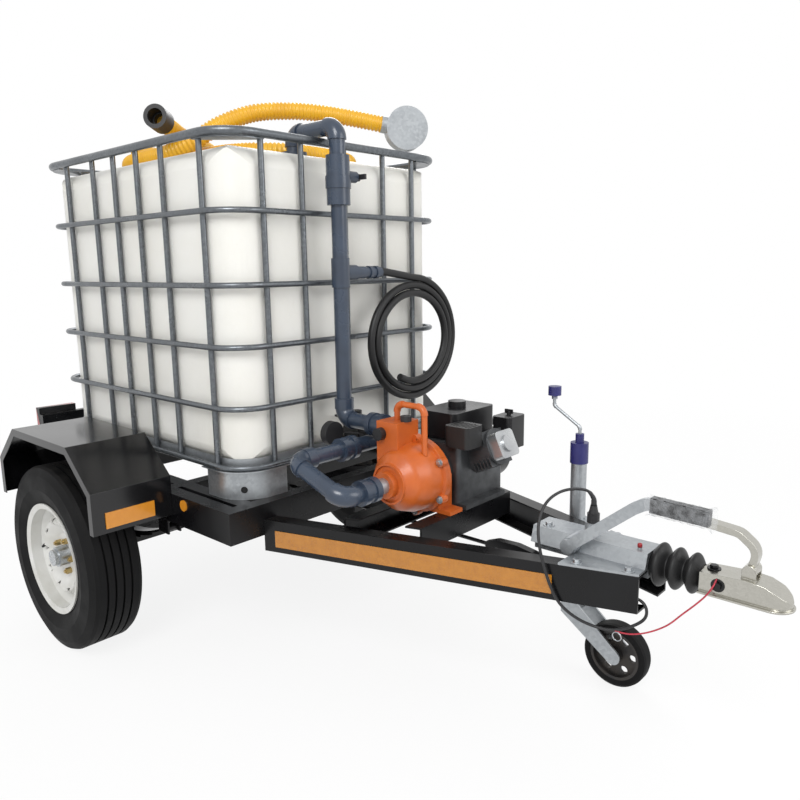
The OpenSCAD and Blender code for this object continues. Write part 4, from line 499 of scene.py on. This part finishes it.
# Engine: die-cast block with cooling fins, pressed covers and a black sheet
# steel fuel tank, all held by small machine screws.
block_alloy = worked_finish("block_alloy", "5d5f61", "434446", rough=(0.4, 0.56), blotch=14.0,
                            grain=420.0, bump=0.3, metallic=0.7)
dress(block_alloy, "engine_block")
bright_alloy = worked_finish("bright_alloy", "c9cbcc", "b3b5b7", rough=(0.24, 0.36), blotch=10.0,
                             grain=380.0, bump=0.15, metallic=0.9)
dress(bright_alloy, "valve_cover")
engine_black = worked_finish("engine_black", "0d0d0f", "161618", rough=(0.26, 0.4), blotch=9.0,
                             grain=420.0, bump=0.12, shine=0.4)
dress(engine_black, "fuel_tank", "recoil_cover", "air_cleaner", "fuel_cap", "starter_grip")
for name, corner in (("fuel_tank", 0.0015), ("air_cleaner", 0.001), ("recoil_cover", 0.001)):
    soften(name, corner)
soot_black = worked_finish("soot_black", "101012", "1a1918", rough=(0.42, 0.6), blotch=20.0,
                           grain=380.0, bump=0.3)
dress(soot_black, "silencer")

# Overrun coupling: a pressed housing bolted on the drawbar nose, a pressed
# ball head on the sliding shaft, the brake lever and the rod to the drums.
dress(galvanised, "coupling_housing")
warm_zinc = zinc_finish("warm_zinc", "bcbab2", "b2b0a8", "b6b4ac", crystal=180.0, rough=(0.18, 0.28),
                        metallic=1.0)
dress(warm_zinc, "coupling_head", "head_handle")
for name, corner in (("coupling_head", 0.0012), ("head_handle", 0.001)):
    soften(name, corner)
coupling_bolt = 0.017
head_seats = [((1.178, 0.0, 0.555), (0, 0, 1)), ((1.2, -0.037, 0.53), (0, -1, 0)),
              ((1.2, 0.037, 0.53), (0, 1, 0))]
hex_heads("head_bolts", head_seats, coupling_bolt, "drawgear", engine_black)
housing_seats = [((x, y * side, 0.526), (0, 0, 1)) for x, y in ((0.875, 0.118), (1.0, 0.084))
                 for side in (-1, 1)]
housing_seats.append(((0.735, -0.018, 0.565), (0, 0, 1)))
hex_heads("housing_bolts", housing_seats, coupling_bolt, "chassis", zinc_bright)
dress(galvanised, "handbrake_lever")
dress(black_plastic, "handbrake_grip")
dress(gloss_black, "brake_rod")

# Indicator cap: a small red cap, moulded in plastic and pressed on the top of
# the coupling housing.
indicator_profile = [(0.0, 0.0062), (0.007, 0.0062), (0.0098, 0.005), (0.011, 0.002)]
indicator_seat = (1.0, -0.021, 0.5695)
indicator_cap = turned("indicator_cap", indicator_profile, 24, indicator_seat)
indicator_cap.rotation_euler = (0.0, -math.pi / 2, 0.0)
indicator_red = worked_finish("indicator_red", "a01c22", "8a161c", rough=(0.3, 0.42), blotch=60.0,
                              grain=700.0, bump=0.1)
indicator_cap.data.materials.append(indicator_red)
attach(indicator_cap, "chassis")

# Grip film: clear packing film still round the handbrake's grip, a thin loose
# sleeve that is creased all over and opens out at both ends.
film = bpy.data.materials.new("clear_film")
film.use_nodes = True
tree = film.node_tree
shader = tree.nodes["Principled BSDF"]
shader.inputs["Roughness"].default_value = 0.18
creases = tree.nodes.new("ShaderNodeGroup")
creases.node_tree = breakup
creases.inputs["Blotch Scale"].default_value = 45.0
creases.inputs["Grain Scale"].default_value = 120.0
tree.links.new(colour_mix(tree, creases.outputs["Tone"], "e8eaec", "cfd2d6"), shader.inputs["Base Color"])
tree.links.new(ranged(tree, creases.outputs["Tone"], 0.0, 1.0, 0.06, 0.32), shader.inputs["Alpha"])
folds = tree.nodes.new("ShaderNodeBump")
folds.inputs["Strength"].default_value = 0.6
folds.inputs["Distance"].default_value = 0.003
tree.links.new(creases.outputs["Grain"], folds.inputs["Height"])
tree.links.new(folds.outputs["Normal"], shader.inputs["Normal"])
grip_low, grip_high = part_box("handbrake_grip")
grip_y, grip_half_y, grip_half_z, grip_fall = -0.084, 0.0118, 0.0205, 0.0045
grip_centre_down = 0.021
film_past, film_slack, front_flare, back_flare = 0.010, 0.0022, 0.06, 0.036
film_rings, film_sides, film_stations = [], 28, 22
film_shape = bmesh.new()
for i in range(film_stations):
    share_along = i / (film_stations - 1)
    x = grip_low.x - film_past + (grip_high.x - grip_low.x + 2 * film_past) * share_along
    z = grip_high.z - grip_centre_down - grip_fall * share_along
    flare = front_flare * max(0.0, share_along - 0.9) + back_flare * max(0.0, 0.08 - share_along)
    half_y, half_z = grip_half_y + film_slack + flare, grip_half_z + film_slack + flare
    ring = []
    for k in range(film_sides):
        angle = 2 * math.pi * k / film_sides
        crease = 0.0011 * math.sin(5 * angle + 2.1 * i) + 0.0009 * math.sin(9 * angle - 1.3 * i)
        cos, sin = math.cos(angle), math.sin(angle)
        square = (abs(cos) ** 5 + abs(sin) ** 5) ** -0.2
        ring.append(film_shape.verts.new((x, grip_y + (half_y + crease) * cos * square,
                                          z + (half_z + crease) * sin * square)))
    film_rings.append(ring)
for a, b in zip(film_rings, film_rings[1:]):
    for k in range(film_sides):
        film_shape.faces.new((a[k - 1], a[k], b[k], b[k - 1])).smooth = True
film_mesh = bpy.data.meshes.new("grip_film")
film_shape.to_mesh(film_mesh)
film_shape.free()
film_mesh.materials.append(film)
grip_film = bpy.data.objects.new("grip_film", film_mesh)
bpy.context.collection.objects.link(grip_film)
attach(grip_film, "handbrake")

# Bellows: a black rubber gaiter of round folds between the housing and the head;
# the real one closes up as the shaft slides in, this one keeps its shape.
gaiter_start, gaiter_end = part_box("bellows")
gaiter_folds, gaiter_steps = 3, 20
gaiter_length, gaiter_z = gaiter_end.x - gaiter_start.x, 0.53
valley_radius, fold_height, taper = 0.036, 0.022, 0.008
gaiter_profile = []
for i in range(gaiter_folds * gaiter_steps + 1):
    share_along = i / (gaiter_folds * gaiter_steps)
    fold = 0.5 - 0.5 * math.cos(2 * math.pi * gaiter_folds * share_along)
    radius = valley_radius + fold_height * fold ** 0.7 - taper * share_along
    gaiter_profile.append((share_along * gaiter_length, radius))
gaiter_seat = (gaiter_start.x, 0.0, gaiter_z)
gaiter = turned("gaiter", gaiter_profile, 48, gaiter_seat)
rubber = worked_finish("rubber", "0d0d0e", "171718", rough=(0.4, 0.55), blotch=20.0, grain=800.0,
                       bump=0.2, shine=0.4)
gaiter.data.materials.append(rubber)
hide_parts("bellows")
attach(gaiter, "chassis")
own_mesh(gaiter)

# Jockey wheel: a zinc plated clamp and telescopic tube with a blue cap, wound
# by a crank, on a swivelling fork with a small wheel.
dress(galvanised, "jockey_clamp", "jockey_tube", "jockey_inner", "jockey_fork")
blue_plastic = worked_finish("blue_plastic", "22215a", "2a2a66", rough=(0.32, 0.45), blotch=15.0,
                             grain=520.0, bump=0.12)
dress(blue_plastic, "jockey_cap")
knob_height = 0.035
knob_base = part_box("jockey_crank")[1].z - knob_height
dress_faces("jockey_crank", blue_plastic, galvanised, lambda centre, facing: centre.z > knob_base)
dress(hub_iron, "jockey_wheel")
dress(tyre_rubber, "jockey_tyre")


# Suction hose: yellow plastic with hard ribs, laid in long loops on the tank top,
# with a black plastic coupler on one end and a galvanised strainer on the other.
def smooth_route(points, samples):
    """Points on one smooth curve through all the given ones, in metres."""
    p = [Vector(q) for q in points]
    p = [2 * p[0] - p[1]] + p + [2 * p[-1] - p[-2]]
    route = []
    for i in range(1, len(p) - 2):
        a, b, c, d = p[i - 1:i + 3]
        for k in range(samples):
            t = k / samples
            route.append(0.5 * (2 * b + (c - a) * t + (2 * a - 5 * b + 4 * c - d) * t ** 2
                                + (3 * b - a - 3 * c + d) * t ** 3))
    return route + [p[-2]]


def even_steps(route, step):
    """The same route, cut in equal steps."""
    lengths = [0.0]
    for a, b in zip(route, route[1:]):
        lengths.append(lengths[-1] + (b - a).length)
    count = round(lengths[-1] / step)
    cut, i = [], 0
    for k in range(count + 1):
        target = lengths[-1] * k / count
        while i < len(route) - 2 and lengths[i + 1] < target:
            i += 1
        share_along = (target - lengths[i]) / (lengths[i + 1] - lengths[i])
        cut.append(route[i].lerp(route[i + 1], share_along))
    return cut, lengths[-1]


def tube_mesh(name, route, radii, sides):
    """A closed tube along a route, with a radius for each of its points."""
    shape = bmesh.new()
    across = None
    rings = []
    for i, point in enumerate(route):
        along = (route[min(i + 1, len(route) - 1)] - route[max(i - 1, 0)]).normalized()
        if across is None:
            across = along.orthogonal().normalized()
        across = (across - along * across.dot(along)).normalized()
        other = along.cross(across)
        rings.append([shape.verts.new(point + radii[i] * (math.cos(2 * math.pi * k / sides) * across
                                                          + math.sin(2 * math.pi * k / sides) * other))
                      for k in range(sides)])
    for a, b in zip(rings, rings[1:]):
        for k in range(sides):
            shape.faces.new((a[k - 1], a[k], b[k], b[k - 1])).smooth = True
    shape.faces.new(rings[0][::-1])
    shape.faces.new(rings[-1])
    mesh = bpy.data.meshes.new(name)
    shape.to_mesh(mesh)
    shape.free()
    piece = bpy.data.objects.new(name, mesh)
    bpy.context.collection.objects.link(piece)
    return piece


def in_metres(points, lift=0.0):
    return [(x / 1000, y / 1000, (z + lift) / 1000) for x, y, z in points]


suction_points = in_metres([
    [-194, 312, 128], [-255, 231, 145], [-315, 140, 158], [-372, 33, 160], [-425, -85, 144],
    [-470, -195, 98], [-528, -285, 32], [-630, -326, 1], [-760, -328, 0], [-880, -310, 0],
    [-985, -245, 0], [-1040, -130, 0], [-1050, 0, 0], [-1040, 130, 0], [-990, 250, 0],
    [-890, 320, 0], [-760, 340, 0], [-630, 340, 0], [-500, 340, 0], [-385, 315, 0],
    [-300, 235, 0], [-270, 115, 0], [-270, -15, 0], [-292, -105, 0], [-352, -165, 0],
    [-440, -198, 0], [-550, -214, 0], [-670, -221, 0], [-775, -224, 6], [-868, -225, 32],
    [-950, -220, 60], [-1020, -200, 72], [-1071, -152, 75], [-1090, -82, 75], [-1071, -12, 75],
    [-1020, 39, 75], [-950, 58, 75], [-882, 38, 75], [-833, -8, 74], [-783, -72, 73],
    [-717, -156, 74], [-646, -246, 80], [-556, -362, 96]], lift=1669.6)
rib_pitch, rib_steps, mean_radius, rib_rise = 0.0135, 6, 0.0279, 0.0021
suction_route, suction_length = even_steps(smooth_route(suction_points, 24), rib_pitch / rib_steps)
suction_radii = [mean_radius + rib_rise * math.cos(2 * math.pi * i / rib_steps)
                 for i in range(len(suction_route))]
suction_tube = tube_mesh("suction_tube", suction_route, suction_radii, 24)
yellow_hose = worked_finish("yellow_hose", "e2ae1c", "d79f16", rough=(0.3, 0.42), blotch=12.0,
                            grain=420.0, bump=0.1, coat=0.2)
suction_tube.data.materials.append(yellow_hose)
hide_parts("suction_hose")
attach(suction_tube, "chassis")
dress(galvanised, "strainer")
dress(black_plastic, "hose_coupler")


# Delivery hose: plain black rubber hose pushed on the riser's tail, hung in
# a coil of under three turns beside the engine.
def cord_curve(name, route, diameter, finish):
    """A round cord on one open line of points."""
    data = bpy.data.curves.new(name, "CURVE")
    data.dimensions = "3D"
    data.bevel_depth = diameter / 2
    data.bevel_resolution = 5
    data.use_fill_caps = True
    line = data.splines.new("POLY")
    line.points.add(len(route) - 1)
    for point, place in zip(line.points, route):
        point.co = (*place, 1.0)
    line.use_smooth = True
    data.materials.append(finish)
    piece = bpy.data.objects.new(name, data)
    bpy.context.collection.objects.link(piece)
    return piece


coil_diameter, coil_steps, step_degrees = 0.026, 63, 15
coil_x, coil_y, coil_z = 15, 236, 1026
half_wide, half_high, closing, drift = 236, 219, 27.5, 4
coil_points = [(coil_x, 72, 1265), (coil_x, 98, 1265)]
for i in range(coil_steps):
    turns = step_degrees * i / 360
    angle = math.radians(step_degrees * i)
    coil_points.append((coil_x + drift * turns,
                        coil_y + (half_wide - closing * turns) * math.sin(angle),
                        coil_z + (half_high - closing * turns) * math.cos(angle)))
coil_route, coil_length = even_steps(smooth_route(in_metres(coil_points), 8), 0.012)
hose_rubber = worked_finish("hose_rubber", "0e0e0f", "181819", rough=(0.4, 0.55), blotch=14.0,
                            grain=650.0, bump=0.15, shine=0.4)
delivery_coil = cord_curve("delivery_coil", coil_route, coil_diameter, hose_rubber)
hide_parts("hose_coil")
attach(delivery_coil, "chassis")

# Electric lead: round black sheathed cable from under the coupling, up in one
# loop to its moulded plug, which is parked in a holder on the housing.
lead_points = in_metres([
    [985, -66, 450], [1026, -64, 447], [1044, -66, 428], [1040, -72, 402], [1006, -82, 374],
    [963, -95, 358], [915, -112, 363], [878, -136, 386], [850, -158, 421], [831, -170, 464],
    [817, -178, 512], [802, -178, 561], [788, -165, 607], [781, -140, 644], [784, -110, 671],
    [795, -70, 686], [808, -20, 685], [830, 16, 676], [843, 27, 656], [845, 28, 645], [845, 28, 634.6]])
lead_diameter = 0.008
lead_route, lead_length = even_steps(smooth_route(lead_points, 12), 0.006)
lead_sheath = worked_finish("lead_sheath", "1b1b1d", "262628", rough=(0.45, 0.6), blotch=30.0,
                            grain=900.0, bump=0.12)
lead = cord_curve("lead", lead_route, lead_diameter, lead_sheath)
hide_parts("electric_lead")
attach(lead, "chassis")
relief_points, relief_thin, relief_growth, relief_ridge = 8, 0.0046, 0.0034, 0.0006
relief_route = lead_route[-relief_points:]
relief_radii = [relief_thin + relief_growth * i / (relief_points - 1) + (relief_ridge if i % 2 else 0.0)
                for i in range(relief_points)]
relief = tube_mesh("plug_relief", relief_route, relief_radii, 20)
relief.data.materials.append(black_plastic)
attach(relief, "chassis")
dress(black_plastic, "plug")

# Breakaway cable: thin steel wire in a red sleeve, from the head down and back
# below the coupling, with a plated split ring on its end.
cable_points = in_metres([
    [1197, -38, 545], [1194, -50, 531], [1184, -60, 510], [1167, -70, 487], [1139, -84, 455],
    [1108, -96, 420], [1068, -108, 393], [1028, -117, 378], [990, -124, 375]])
cable_diameter = 0.004
cable_route, cable_length = even_steps(smooth_route(cable_points, 12), 0.004)
cable_red = worked_finish("cable_red", "b92e40", "a3273a", rough=(0.35, 0.5), blotch=40.0, grain=900.0,
                          bump=0.1)
cable = cord_curve("cable", cable_route, cable_diameter, cable_red)
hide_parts("breakaway_cable")
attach(cable, "drawgear")
ring_centre = cable_route[-1] + Vector((0.006, -0.0032, -0.011))
ring_radius, ring_wire, ring_drift = 0.0115, 0.0011, 0.0008
ring_route = []
for k in range(65):
    half_turns = k / 16
    ring_route.append(ring_centre + Vector((ring_radius * math.cos(math.pi * half_turns),
                                            ring_drift * half_turns,
                                            ring_radius * math.sin(math.pi * half_turns))))
cable_ring = tube_mesh("cable_ring", ring_route, [ring_wire] * len(ring_route), 12)
cable_ring.data.materials.append(zinc_bright)
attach(cable_ring, "drawgear")
